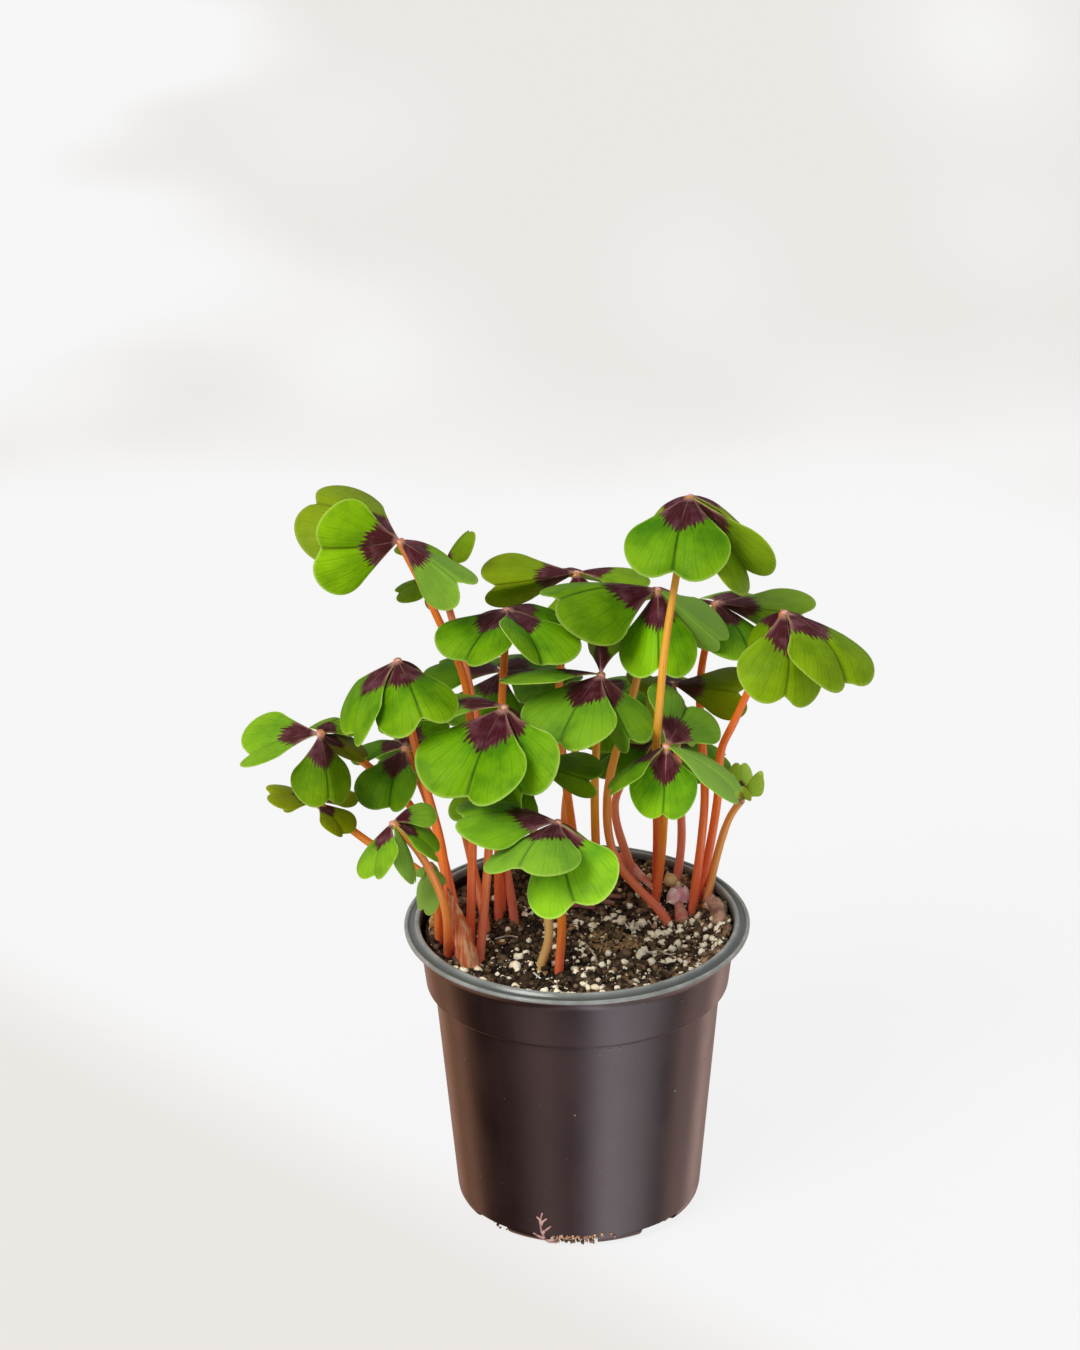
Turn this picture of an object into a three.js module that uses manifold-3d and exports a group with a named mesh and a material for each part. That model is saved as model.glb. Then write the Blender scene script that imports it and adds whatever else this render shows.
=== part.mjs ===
// Potted iron cross oxalis: a nursery pot filled with soil, four-part leaves on thin stalks and a small bulb.
// Millimetres, +Z up, origin under the middle of the pot. The front of the plant faces -Y.
import * as THREE from 'three';
import Module from 'manifold-3d';
import { mergeVertices } from 'three/addons/utils/BufferGeometryUtils.js';

const wasm = await Module();
wasm.setup();

// Pot
const rimRadius = 55;
const potHeight = 98;
const mouthRadius = 49.8;
const footRadius = 32.5;
const cornerRadius = 6;
const bodyFoot = 38.7;
const bodyTop = 45.6;
const bandFoot = 48.2;
const bandTop = 50;
const bandHeight = 77;
const lipUnderside = 93.5;
const lipThickness = 1.2;
const lipSlope = 1.1;
const wallThickness = 1.4;
const drainCount = 8;
const drainTurn = -93;
const drainWidth = 15;
const drainHeight = 3.2;
const drainDepth = 6.5;
const potSegments = 32;

// Soil
const soilTop = 90;
const soilMound = 1.6;
const soilRimRise = 3.6;
const soilRings = 3;
const soilSegments = potSegments;

// Bulb
const bulbPlace = [32.7, 24.6, 91];
const bulbOutline = [[0, -4.5], [1.9, -3.6], [3.1, -1.6], [3.3, 0.6], [2.9, 2.9], [1.8, 4.8], [0, 5.8]];
const bulbSegments = 12;

// Plant
const gap = 0.3;
const stalkRadius = 1.25;
const stalkSides = 6;
const stalkSink = 8;
const hubRadius = 1.6;
const bladeThickness = 0.7;
const bladeSpread = 47;
const bladeArch = 0.1;
const lobeBulge = 0.13;
const notchDepth = 0.16;
const hubReach = 1.2;
const bladeColumns = [-90, -60, -30, 0, 30, 60, 90];
const bladeRows = [0.38, 0.74, 1];

const rad = THREE.MathUtils.degToRad;
const vec = (p) => new THREE.Vector3(...p);

const colours = {
  pot: new THREE.MeshStandardMaterial({ color: 0x2c2626, roughness: 0.45, metalness: 0 }),
  soil: new THREE.MeshStandardMaterial({ color: 0x2a1d15, roughness: 1, metalness: 0 }),
  leaf: new THREE.MeshStandardMaterial({ color: 0x5f9a1c, roughness: 0.6, metalness: 0 }),
  stalk: new THREE.MeshStandardMaterial({ color: 0xc8683a, roughness: 0.5, metalness: 0 }),
  bulb: new THREE.MeshStandardMaterial({ color: 0xc98f8a, roughness: 0.6, metalness: 0 }),
};

const plant = new THREE.Group();

function addMesh(name, geometry, material) {
  const mesh = new THREE.Mesh(geometry, material);
  mesh.name = name;
  plant.add(mesh);
}

function solidOf(geometry) {
  const bare = geometry.clone();
  bare.deleteAttribute('normal');
  bare.deleteAttribute('uv');
  const merged = mergeVertices(bare, 1e-3);
  return new wasm.Manifold(new wasm.Mesh({
    numProp: 3,
    vertProperties: new Float32Array(merged.attributes.position.array),
    triVerts: new Uint32Array(merged.index.array),
  }));
}

function geometryOf(solid) {
  const mesh = solid.getMesh();
  const geometry = new THREE.BufferGeometry();
  geometry.setAttribute('position', new THREE.BufferAttribute(mesh.vertProperties, 3));
  geometry.setIndex(new THREE.BufferAttribute(mesh.triVerts, 1));
  geometry.computeVertexNormals();
  return geometry;
}

// Pot: one closed profile turned about the axis, with drain notches cut through its bottom corner.
function bodyRadius(z) {
  return THREE.MathUtils.mapLinear(z, cornerRadius, bandHeight, bodyFoot, bodyTop);
}

function potGeometry() {
  const floor = wallThickness;
  const lipEdge = potHeight - lipSlope;
  const outline = [new THREE.Vector2(0, 0), new THREE.Vector2(footRadius, 0)];
  for (const turn of [30, 60, 90]) {
    outline.push(new THREE.Vector2(
      footRadius + (bodyFoot - footRadius) * Math.sin(rad(turn)),
      cornerRadius * (1 - Math.cos(rad(turn))),
    ));
  }
  outline.push(
    new THREE.Vector2(bodyRadius(bandHeight - 1), bandHeight - 1),
    new THREE.Vector2(bandFoot, bandHeight),
    new THREE.Vector2(bandTop, lipUnderside - 2),
    new THREE.Vector2(bandTop + 1.3, lipUnderside + 0.5),
    new THREE.Vector2(rimRadius - 0.5, lipEdge - lipThickness),
    new THREE.Vector2(rimRadius, lipEdge - lipThickness + 0.4),
    new THREE.Vector2(rimRadius, lipEdge - 0.4),
    new THREE.Vector2(rimRadius - 0.6, lipEdge),
    new THREE.Vector2(mouthRadius + 1.2, potHeight),
    new THREE.Vector2(mouthRadius + 0.5, potHeight),
    new THREE.Vector2(mouthRadius, potHeight - 1.2),
    new THREE.Vector2(bandTop - wallThickness, lipUnderside - 3),
    new THREE.Vector2(bandFoot - wallThickness, bandHeight),
    new THREE.Vector2(bodyRadius(bandHeight - 2) - wallThickness, bandHeight - 2),
    new THREE.Vector2(bodyFoot - wallThickness, cornerRadius),
    new THREE.Vector2(footRadius - 0.5, floor),
    new THREE.Vector2(0, floor),
  );
  const turned = new THREE.LatheGeometry(outline, potSegments);
  turned.rotateX(Math.PI / 2);
  let pot = solidOf(turned);
  if (pot.volume() < 0) throw new Error('pot profile is reversed');
  for (let i = 0; i < drainCount; i++) {
    const notch = new THREE.BoxGeometry(drainDepth, drainWidth, 2 * drainHeight);
    notch.translate(footRadius + drainDepth / 2, 0, 0);
    notch.rotateZ(rad(drainTurn + (360 / drainCount) * i));
    pot = pot.subtract(solidOf(notch));
  }
  return geometryOf(pot);
}

// Soil: it fills the pot to just under the rim. Its top is uneven and a little higher along the wall.
function soilHeight(x, y) {
  const ripple = Math.sin(x / 7 + 1.3) * Math.cos(y / 6 - 0.4) + 0.6 * Math.sin((x - y) / 3.7);
  const rise = THREE.MathUtils.smoothstep(Math.hypot(x, y), 0.68 * bandTop, 0.96 * bandTop);
  return soilTop + 0.5 * soilMound * ripple + soilRimRise * rise;
}

function soilInnerRadius(z) {
  let wall = bodyRadius(z) - wallThickness;
  const lipFoot = lipUnderside - 3;
  if (z > lipFoot) {
    wall = THREE.MathUtils.mapLinear(z, lipFoot, potHeight - 1.2, bandTop - wallThickness, mouthRadius);
  } else if (z > bandHeight) {
    wall = THREE.MathUtils.mapLinear(z, bandHeight, lipFoot, bandFoot, bandTop) - wallThickness;
  }
  return wall - 2 * gap;
}

function soilSolid() {
  const points = [];
  const faces = [];
  const ringAt = (radius, height) => {
    const first = points.length / 3;
    for (let i = 0; i < soilSegments; i++) {
      const turn = (2 * Math.PI * i) / soilSegments;
      const x = radius * Math.cos(turn);
      const y = radius * Math.sin(turn);
      points.push(x, y, height ?? soilHeight(x, y));
    }
    return first;
  };
  const join = (inner, outer) => {
    for (let i = 0; i < soilSegments; i++) {
      const next = (i + 1) % soilSegments;
      faces.push(inner + i, outer + i, outer + next, inner + i, outer + next, inner + next);
    }
  };
  points.push(0, 0, soilHeight(0, 0));
  const topRadius = soilInnerRadius(soilTop + 1);
  let last = ringAt(topRadius / soilRings);
  for (let i = 0; i < soilSegments; i++) faces.push(0, last + i, last + ((i + 1) % soilSegments));
  for (let ring = 2; ring <= soilRings; ring++) {
    const next = ringAt((topRadius * ring) / soilRings);
    join(last, next);
    last = next;
  }
  for (const z of [lipUnderside - 3, bandHeight + 0.5, bandHeight - 2, cornerRadius + 1]) {
    const next = ringAt(soilInnerRadius(z), z);
    join(last, next);
    last = next;
  }
  const bottom = ringAt(footRadius - 2, wallThickness + gap);
  join(last, bottom);
  const centre = points.length / 3;
  points.push(0, 0, wallThickness + gap);
  for (let i = 0; i < soilSegments; i++) faces.push(centre, bottom + ((i + 1) % soilSegments), bottom + i);
  return new wasm.Manifold(new wasm.Mesh({
    numProp: 3,
    vertProperties: new Float32Array(points),
    triVerts: new Uint32Array(faces),
  }));
}

// Bulb: a small ovoid, turned about its own axis, that sits half sunk in a hollow of the soil.
function bulbGeometry(margin) {
  const outline = bulbOutline.map(([radius, height], i) => {
    const end = i === 0 || i === bulbOutline.length - 1;
    const above = margin * Math.sign(height);
    return new THREE.Vector2(end ? 0 : radius + margin, height + (end ? above : 0));
  });
  const bulb = new THREE.LatheGeometry(outline, bulbSegments);
  bulb.rotateX(Math.PI / 2);
  bulb.translate(...bulbPlace);
  return bulb;
}

// Stalk: a tube from below the soil's surface, through the points it bends at, to just under the hub.
function stalkDirection(leaf) {
  const before = leaf.bends.length ? vec(leaf.bends[leaf.bends.length - 1]) : vec([...leaf.foot, soilTop]);
  return before.sub(vec(leaf.hub)).normalize();
}

function stalkCurve(leaf, shorten) {
  const foot = vec([...leaf.foot, soilTop - stalkSink]);
  const start = vec([...leaf.foot, soilTop]);
  const end = vec(leaf.hub).addScaledVector(stalkDirection(leaf), shorten);
  return new THREE.CatmullRomCurve3([foot, start, ...leaf.bends.map(vec), end], false, 'centripetal');
}

function tubeGeometry(curve, radius) {
  const section = new THREE.Shape();
  for (let i = 0; i < stalkSides; i++) {
    const turn = (2 * Math.PI * i) / stalkSides;
    const x = radius * Math.cos(turn);
    const y = radius * Math.sin(turn);
    if (i) section.lineTo(x, y);
    else section.moveTo(x, y);
  }
  section.closePath();
  const steps = Math.max(4, Math.round(curve.getLength() / 18));
  return new THREE.ExtrudeGeometry(section, { steps, bevelEnabled: false, extrudePath: curve });
}

// Leaflet: a wedge from the hub that opens into two round lobes with a shallow notch between them.
// Its surface arches along the midrib, each lobe bulges, and the halves fold about the midrib.
function leafletPoint(length, fold, archShare, around, outward) {
  const side = Math.sin(around);
  const notch = 1 - notchDepth * Math.exp(-((Math.abs(side) / 0.2) ** 1.3));
  const reach = (outward * length * (0.58 + 0.42 * Math.cos(around)) * notch) / 0.97;
  const turn = rad(bladeSpread) * side * (0.84 + 0.16 * outward);
  const along = reach * Math.cos(turn);
  const across = reach * Math.sin(turn);
  const arch = 4 * archShare * along * (1 - along / length);
  const bulge = lobeBulge * length * outward ** 2 * Math.sin(Math.PI * Math.abs(side) ** 0.75);
  const drop = Math.abs(across) * Math.sin(rad(fold));
  return new THREE.Vector3(along, across * Math.cos(rad(fold)), arch + bulge - drop);
}

function directionOf(heading, droop) {
  return new THREE.Vector3(
    Math.cos(rad(heading)) * Math.cos(rad(droop)),
    Math.sin(rad(heading)) * Math.cos(rad(droop)),
    -Math.sin(rad(droop)),
  );
}

// The two faces of a leaflet as rows of points, each row running from its right edge to its left.
function leafletFaces(hub, [heading, droop, length, roll, fold], archShare) {
  const out = directionOf(heading, droop);
  const level = new THREE.Vector3(-Math.sin(rad(heading)), Math.cos(rad(heading)), 0);
  level.applyAxisAngle(out, rad(roll));
  const up = out.clone().cross(level);
  const place = new THREE.Matrix4().makeBasis(out, level, up).setPosition(hub);
  const lean = 0.02;
  const pointAt = (around, outward) => leafletPoint(length, fold, archShare, around, outward);
  const upper = [];
  const lower = [];
  for (const outward of bladeRows) {
    for (const turn of bladeColumns) {
      const around = rad(turn);
      const before = Math.max(around - lean, -Math.PI / 2);
      const after = Math.min(around + lean, Math.PI / 2);
      const point = pointAt(around, outward);
      const outwards = pointAt(around, outward + lean).sub(pointAt(around, outward - lean));
      const sideways = pointAt(after, outward).sub(pointAt(before, outward));
      const normal = outwards.cross(sideways).setLength(bladeThickness / 2);
      upper.push(point.clone().add(normal).applyMatrix4(place));
      lower.push(point.sub(normal).applyMatrix4(place));
    }
  }
  return { heading, droop, up, upper, lower };
}

// The leaflets of one leaf are a single closed shell. Neighbouring leaflets share a corner beside the hub,
// and a short stub under the hub meets the stalk.
function leafletsSolid(leaf) {
  const hub = vec(leaf.hub);
  const turned = (heading) => ((heading % 360) + 360) % 360;
  const archShare = leaf.arch ?? bladeArch;
  const sheets = leaf.leaflets.map((leaflet) => leafletFaces(hub, leaflet, archShare));
  sheets.sort((a, b) => turned(a.heading) - turned(b.heading));
  const wide = bladeColumns.length;
  const half = (wide - 1) / 2;
  const last = bladeRows.length - 1;
  const count = sheets.length;
  const upper = [];
  const lower = [];
  const stub = [];
  const under = stalkDirection(leaf);
  sheets.forEach((sheet, i) => {
    const next = sheets[(i + 1) % count];
    const between = turned(next.heading - sheet.heading) / 2;
    const out = directionOf(sheet.heading + between, (sheet.droop + next.droop) / 4);
    const corner = out.multiplyScalar(hubReach).add(hub);
    const normal = sheet.up.clone().add(next.up).setLength(bladeThickness / 2);
    upper.push(corner.clone().add(normal));
    lower.push(corner.clone().sub(normal));
    const toCorner = corner.sub(hub);
    toCorner.addScaledVector(under, hubRadius - toCorner.dot(under));
    stub.push(toCorner.add(hub));
  });
  for (const sheet of sheets) {
    upper.push(...sheet.upper);
    lower.push(...sheet.lower);
  }
  const below = upper.length;
  const faces = [];
  const cover = (a, b, c) => faces.push(a, b, c, below + a, below + c, below + b);
  sheets.forEach((sheet, i) => {
    const right = (i + count - 1) % count;
    const left = i;
    const at = (row, column) => count + (i * (last + 1) + row) * wide + column;
    for (let c = 0; c < half; c++) {
      cover(right, at(0, c), at(0, c + 1));
      cover(left, at(0, half + c), at(0, half + c + 1));
    }
    cover(right, at(0, half), left);
    for (let r = 0; r < last; r++) {
      for (let c = 0; c + 1 < wide; c++) {
        cover(at(r, c), at(r + 1, c), at(r + 1, c + 1));
        cover(at(r, c), at(r + 1, c + 1), at(r, c + 1));
      }
    }
    const edge = [right];
    for (let r = 0; r <= last; r++) edge.push(at(r, 0));
    for (let c = 1; c < wide; c++) edge.push(at(last, c));
    for (let r = last - 1; r >= 0; r--) edge.push(at(r, wide - 1));
    edge.push(left);
    for (let e = 0; e + 1 < edge.length; e++) {
      faces.push(edge[e], below + edge[e], below + edge[e + 1]);
      faces.push(edge[e], below + edge[e + 1], edge[e + 1]);
    }
    const foot = 2 * below;
    faces.push(below + left, below + right, foot + right, below + left, foot + right, foot + left);
  });
  for (let i = 1; i + 1 < count; i++) {
    faces.push(0, i, i + 1, 2 * below, 2 * below + i + 1, 2 * below + i);
  }
  const points = [...upper, ...lower, ...stub].flatMap((point) => [point.x, point.y, point.z]);
  return new wasm.Manifold(new wasm.Mesh({
    numProp: 3,
    vertProperties: new Float32Array(points),
    triVerts: new Uint32Array(faces),
  }));
}

function leafletsGeometry(leaf) {
  const blades = leafletsSolid(leaf);
  const clearance = solidOf(tubeGeometry(stalkCurve(leaf, hubRadius + gap / 2), stalkRadius + gap));
  const touches = blades.intersect(clearance).volume() > 0;
  return geometryOf(touches ? blades.subtract(clearance) : blades);
}

// Leaves, front to back. A leaf has its hub's place, its stalk's foot on the soil, the points that the stalk
// bends at, and its leaflets as [heading, droop, length, roll about the midrib, fold of the halves].
// A heading of 0 points to +X and 270 to the front. A negative droop rises. Domed leaves arch more than the rest.
const leaves = [
  { name: 'q', hub: [-6, -42, 153], foot: [-6, -21], bends: [[-5, -24, 106]],
    leaflets: [[180, 0, 33, 0, 15], [245, 10, 32, 10, 20], [285, 40, 32, 35, 20], [70, 45, 24, 0, 30]] },
  { name: 'k', hub: [-22, -24, 184], foot: [-31, -16], bends: [[-29, -8, 109], [-26, -4, 146]],
    leaflets: [[240, 45, 36, 0, -10], [290, 45, 33, 75, 35], [165, 15, 32, 10, 5], [60, 45, 20, 0, 40]] },
  { name: 'p', hub: [28, -24, 170], foot: [25, 20], bends: [[27, 15, 111], [28, 0, 140]],
    leaflets: [[230, 85, 26, -40, 40], [350, 40, 29, -10, 5], [75, -5, 26, 35, 0], [195, 40, 24, 20, 10]] },
  { name: 'o', hub: [-57, -37, 151], foot: [-41, -13], bends: [[-42, -33, 122], [-49, -38, 141]],
    leaflets: [[245, 50, 20, 35, 5], [0, 45, 19, 0, 0], [50, 0, 17, -10, 45], [305, 60, 21, -50, 20]] },
  { name: 'r', hub: [-46, -21, 128], foot: [-44, -6], bends: [[-44, -14, 115]],
    leaflets: [[250, 75, 16, 45, 15], [0, 50, 8, 0, 45], [85, 25, 7, 0, 50], [170, 30, 6, 0, 50]] },
  { name: 'l', arch: 0.17, hub: [-55, -13, 195], foot: [-37, -17],
    bends: [[-41, -8, 116], [-43, -3, 128], [-50, -1, 158]],
    leaflets: [[290, 25, 30, 15, 35], [210, 60, 30, 15, 5], [45, 50, 20, 0, 60], [150, 60, 20, 0, 65]] },
  { name: 'j', hub: [8, -12, 189], foot: [7, 24], bends: [[6, 11, 138]],
    leaflets: [[235, 35, 31, 0, 0], [300, 40, 27, 40, 60], [185, 5, 33, 25, 15], [90, -45, 25, -10, 65]] },
  { name: 'h', arch: 0.17, hub: [65, -6, 207], foot: [38, 21],
    bends: [[42, 21, 108], [45, 15, 132], [46, 8, 153], [50, 4, 165]],
    leaflets: [[265, 55, 31, -25, 30], [312, 35, 35, -15, 10], [150, 50, 20, 0, 60], [45, 50, 24, 0, 50]] },
  { name: 'm', hub: [-80, -4, 166], foot: [-40, 4],
    bends: [[-43, 11, 114], [-54, 17, 132], [-66, 18, 144]],
    leaflets: [[175, 25, 27, -10, -10], [285, 65, 24, -5, 40], [10, 35, 19, 75, 70], [65, 10, 17, 0, 25]] },
  { name: 'c', hub: [-21, -2, 207], foot: [-25, 14], bends: [[-24, 6, 151]],
    leaflets: [[230, 30, 26, 0, -5], [295, 25, 29, -20, -15], [135, 35, 22, 0, 30], [50, 25, 26, 0, 25]] },
  { name: 'a', hub: [-54, 0, 230], foot: [-34, -11], bends: [[-34, -2, 180], [-43, -1, 205]],
    leaflets: [[200, -5, 30, -90, 5], [150, -10, 35, -20, 30], [315, 15, 31, 35, 60], [45, 35, 25, 0, 30]] },
  { name: 'f', arch: 0.17, hub: [36, 2, 243], foot: [26, 36],
    bends: [[26, 21, 119], [25, -17, 167], [26, -21, 184], [28, -16, 202]],
    leaflets: [[255, 40, 32, 0, 10], [355, 55, 34, 70, -60], [140, 50, 25, 0, 40], [50, 50, 28, 0, 20]] },
  { name: 'n', hub: [-54, 18, 150], foot: [-37, 0], bends: [[-46, 9, 132]],
    leaflets: [[250, 50, 23, 15, -15], [0, 15, 24, 0, 20], [130, 20, 22, 0, 25], [80, -10, 24, 0, 25]] },
  { name: 's', hub: [-82, 6, 137], foot: [-43, 2], bends: [[-47, 4, 110], [-66, 4, 124]],
    leaflets: [[185, -10, 17, 0, 10], [320, 40, 15, -10, -5], [125, 25, 14, 0, 20], [45, 5, 15, 0, 25]] },
  { name: 'u', hub: [-15, -8, 158], foot: [-12, -20], bends: [[-9, -19, 102], [-13, -13, 129]],
    leaflets: [[330, 5, 26, 65, 60], [230, 25, 32, 0, 25], [115, 20, 15, -10, 20], [50, 40, 22, 0, 20]] },
  { name: 'e', hub: [26, 10, 208], foot: [29, 12], bends: [[13, 16, 110], [10, 16, 132], [19, 8, 176]],
    leaflets: [[200, 0, 38, -10, 30], [270, 50, 30, 0, 40], [350, 40, 29, 65, 65], [90, 35, 26, 0, 25]] },
  { name: 'g', hub: [45, 30, 194], foot: [37, 16], bends: [[41, 17, 131], [40, 32, 166]],
    leaflets: [[340, 0, 33, 65, 65], [300, 30, 25, -10, 20], [145, 20, 20, 0, 30], [60, 20, 26, 0, 20]] },
  { name: 'b', hub: [-42, 24, 207], foot: [-20, 14], bends: [[-33, 15, 172]],
    leaflets: [[185, 25, 16, 0, 20], [35, -45, 18, -30, 30], [270, 45, 12, 0, 40], [350, 55, 10, 0, 50]] },
  { name: 'd', hub: [1, 30, 205], foot: [2, 26], bends: [[-5, 19, 169]],
    leaflets: [[200, 0, 32, -70, 60], [5, 10, 24, -10, 20], [105, 30, 28, 0, 25], [280, 40, 26, 0, 20]] },
  { name: 't', hub: [-23, 40, 166], foot: [-24, 19], bends: [[-24, 29, 140]],
    leaflets: [[330, 0, 27, 0, 20], [60, 15, 27, 0, 20], [150, 10, 27, 0, 20], [245, 25, 27, 0, 20]] },
  { name: 'i', hub: [31, 28, 167], foot: [32, 31], bends: [[34, 32, 109], [33, 26, 134]],
    leaflets: [[330, -5, 28, 60, 55], [240, -10, 22, -50, 35], [285, 50, 22, 0, 55], [100, 25, 24, 0, 20]] },
  { name: 'x', hub: [-42, 46, 141], foot: [-29, 8], bends: [[-38, 36, 123]],
    leaflets: [[20, 10, 26, 0, 20], [110, 25, 26, 0, 20], [200, 15, 26, 0, 20], [290, 20, 26, 0, 20]] },
  { name: 'y', hub: [28, 51, 138], foot: [20, 36], bends: [[13, 42, 119]],
    leaflets: [[10, 30, 26, 0, 20], [100, 15, 26, 0, 20], [190, 25, 26, 0, 20], [285, 20, 26, 0, 20]] },
  { name: 'w', hub: [5, 47, 156], foot: [-3, 36], bends: [[-3, 38, 121]],
    leaflets: [[35, 15, 28, 0, 20], [130, 20, 28, 0, 20], [215, 10, 28, 0, 20], [300, 25, 28, 0, 20]] },
  { name: 'v', hub: [53, 27, 126], foot: [41, 16], bends: [[44, 23, 103], [49, 27, 119]],
    leaflets: [[0, -60, 12, 0, 55], [90, -50, 13, 0, 55], [180, -70, 11, 0, 55], [270, -55, 10, 0, 55]] },
];

addMesh('pot', potGeometry(), colours.pot);
addMesh('bulb', bulbGeometry(0), colours.bulb);

let soil = soilSolid().subtract(solidOf(bulbGeometry(gap)));
for (const leaf of leaves) {
  soil = soil.subtract(solidOf(tubeGeometry(stalkCurve(leaf, hubRadius), stalkRadius + gap)));
  const stalk = tubeGeometry(stalkCurve(leaf, hubRadius + gap), stalkRadius);
  addMesh(`leaf_${leaf.name}_stalk`, stalk, colours.stalk);
  addMesh(`leaf_${leaf.name}_leaflets`, leafletsGeometry(leaf), colours.leaf);
}
addMesh('soil', geometryOf(soil), colours.soil);

export default plant;
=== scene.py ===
# Potted iron cross oxalis: fine leaves, stalks, soil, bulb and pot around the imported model.
# Everything is in metres, +Z up, and the front of the plant faces -Y. Sizes in the tables are millimetres.
import math
import random

import bpy
import numpy as np
from mathutils import Matrix, Vector, noise


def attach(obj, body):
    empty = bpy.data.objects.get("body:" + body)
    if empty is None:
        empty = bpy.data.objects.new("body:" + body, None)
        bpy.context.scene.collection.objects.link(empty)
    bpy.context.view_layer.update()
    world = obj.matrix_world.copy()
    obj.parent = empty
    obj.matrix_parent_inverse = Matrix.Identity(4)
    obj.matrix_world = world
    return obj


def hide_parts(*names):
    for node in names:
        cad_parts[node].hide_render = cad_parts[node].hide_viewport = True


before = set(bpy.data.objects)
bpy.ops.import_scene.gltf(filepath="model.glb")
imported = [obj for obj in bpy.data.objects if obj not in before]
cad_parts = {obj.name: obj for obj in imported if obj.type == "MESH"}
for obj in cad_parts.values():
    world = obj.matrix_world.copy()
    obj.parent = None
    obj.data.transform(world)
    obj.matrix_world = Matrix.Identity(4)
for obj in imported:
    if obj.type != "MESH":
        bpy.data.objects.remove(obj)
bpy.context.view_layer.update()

mm = 0.001
noise.seed_set(72)  # so that the noise vectors are the same in each run

photoView = {
    "imageHeight": 1350,
    "focalPixels": 6290,
    "place": (-0.010945, -1.778548, 1.015098),
    "lookDown": 25.06,
    "roll": 0.6,
    "sensorHeight": 36,
}


def setCamera(view):
    down, roll = math.radians(view["lookDown"]), math.radians(view["roll"])
    right = Vector((1, 0, 0))
    up = Vector((0, math.sin(down), math.cos(down)))
    ahead = Vector((0, math.cos(down), -math.sin(down)))
    sideways = right * math.cos(roll) - up * math.sin(roll)
    upward = right * math.sin(roll) + up * math.cos(roll)
    data = bpy.data.cameras.new("camera")
    data.sensor_fit = "VERTICAL"
    data.sensor_height = view["sensorHeight"]
    data.lens = view["focalPixels"] / view["imageHeight"] * view["sensorHeight"]
    data.clip_end = 20
    camera = bpy.data.objects.new("camera", data)
    turn = Matrix((sideways, upward, -ahead)).transposed().to_4x4()
    camera.matrix_world = Matrix.Translation(view["place"]) @ turn
    bpy.context.scene.collection.objects.link(camera)
    bpy.context.scene.camera = camera


setCamera(photoView)
print("camera set")


def colour(red, green, blue):
    # screen colour, 0 to 255, as the linear colour that the nodes take
    def linear(c):
        c /= 255
        return c / 12.92 if c <= 0.04045 else ((c + 0.055) / 1.055) ** 2.4
    return (linear(red), linear(green), linear(blue), 1)


class Finish:
    # one node material, with short calls for the nodes it is made of

    def __init__(self, name, owner=None):
        self.material = owner or bpy.data.materials.new(name)
        self.material.use_nodes = True
        self.tree = self.material.node_tree
        self.tree.nodes.clear()

    def node(self, kind, *inputs, **settings):
        node = self.tree.nodes.new("ShaderNode" + kind)
        for key, value in settings.items():
            setattr(node, key, value)
        for i, value in enumerate(inputs):
            self.put(node, i, value)
        return node

    def put(self, node, slot, value):
        if value is None:
            return
        if isinstance(value, bpy.types.NodeSocket):
            self.tree.links.new(value, node.inputs[slot])
        else:
            node.inputs[slot].default_value = value

    def calc(self, operation, a, b=None):
        return self.node("Math", a, b, operation=operation).outputs[0]

    def plus(self, a, b):
        return self.calc("ADD", a, b)

    def minus(self, a, b):
        return self.calc("SUBTRACT", a, b)

    def times(self, a, b):
        return self.calc("MULTIPLY", a, b)

    def step(self, value, low, high, start=0.0, end=1.0):
        # goes smoothly from start to end while value goes from low to high
        node = self.node("MapRange", value, low, high, start, end, interpolation_type="SMOOTHSTEP")
        return node.outputs[0]

    def mix(self, share, first, second, blend="MIX"):
        node = self.node("Mix", data_type="RGBA", blend_type=blend)
        for slot, value in ((0, share), (6, first), (7, second)):
            self.put(node, slot, value)
        return node.outputs[2]

    def multiply(self, first, second):
        return self.mix(1.0, first, second, "MULTIPLY")

    def grey(self, value):
        return self.node("CombineColor", value, value, value).outputs[0]

    def grain(self, place, scale, detail=3.0, rough=0.55):
        node = self.node("TexNoise", noise_dimensions="3D")
        settings = {"Vector": place, "Scale": scale, "Detail": detail, "Roughness": rough}
        for slot, value in settings.items():
            self.put(node, slot, value)
        return node.outputs[0]

    def vector(self, x=0.0, y=0.0, z=0.0):
        return self.node("CombineXYZ", x, y, z).outputs[0]

    def parts(self, vector):
        node = self.node("SeparateXYZ", vector)
        return node.outputs[0], node.outputs[1], node.outputs[2]

    def uv(self, name):
        return self.parts(self.node("UVMap", uv_map=name).outputs[0])

    def paint(self, name):
        colours = self.node("Attribute", attribute_name=name, attribute_type="GEOMETRY")
        node = self.node("SeparateColor", colours.outputs[0])
        return node.outputs[0], node.outputs[1], node.outputs[2]

    def place(self, kind="Object"):
        return self.node("TexCoord").outputs[kind]

    def hump(self, value, middle, width):
        # 1 at the middle, falling smoothly to nothing over about twice the width
        off = self.calc("DIVIDE", self.minus(value, middle), width)
        return self.calc("EXPONENT", self.times(self.times(off, off), -1.0))

    def relief(self, height, depth, strength=1.0):
        node = self.node("Bump")
        self.put(node, "Strength", strength)
        self.put(node, "Distance", depth)
        self.put(node, "Height", height)
        return node.outputs[0]

    def shader(self, base, roughness, bump=None, **fixed):
        node = self.node("BsdfPrincipled")
        self.put(node, "Base Color", base)
        self.put(node, "Roughness", roughness)
        self.put(node, "Normal", bump)
        for key, value in fixed.items():
            self.put(node, key.replace("_", " "), value)
        return node.outputs[0]

    def end(self, shader):
        out = self.node("OutputMaterial")
        self.put(out, 0, shader)
        return self.material


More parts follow.
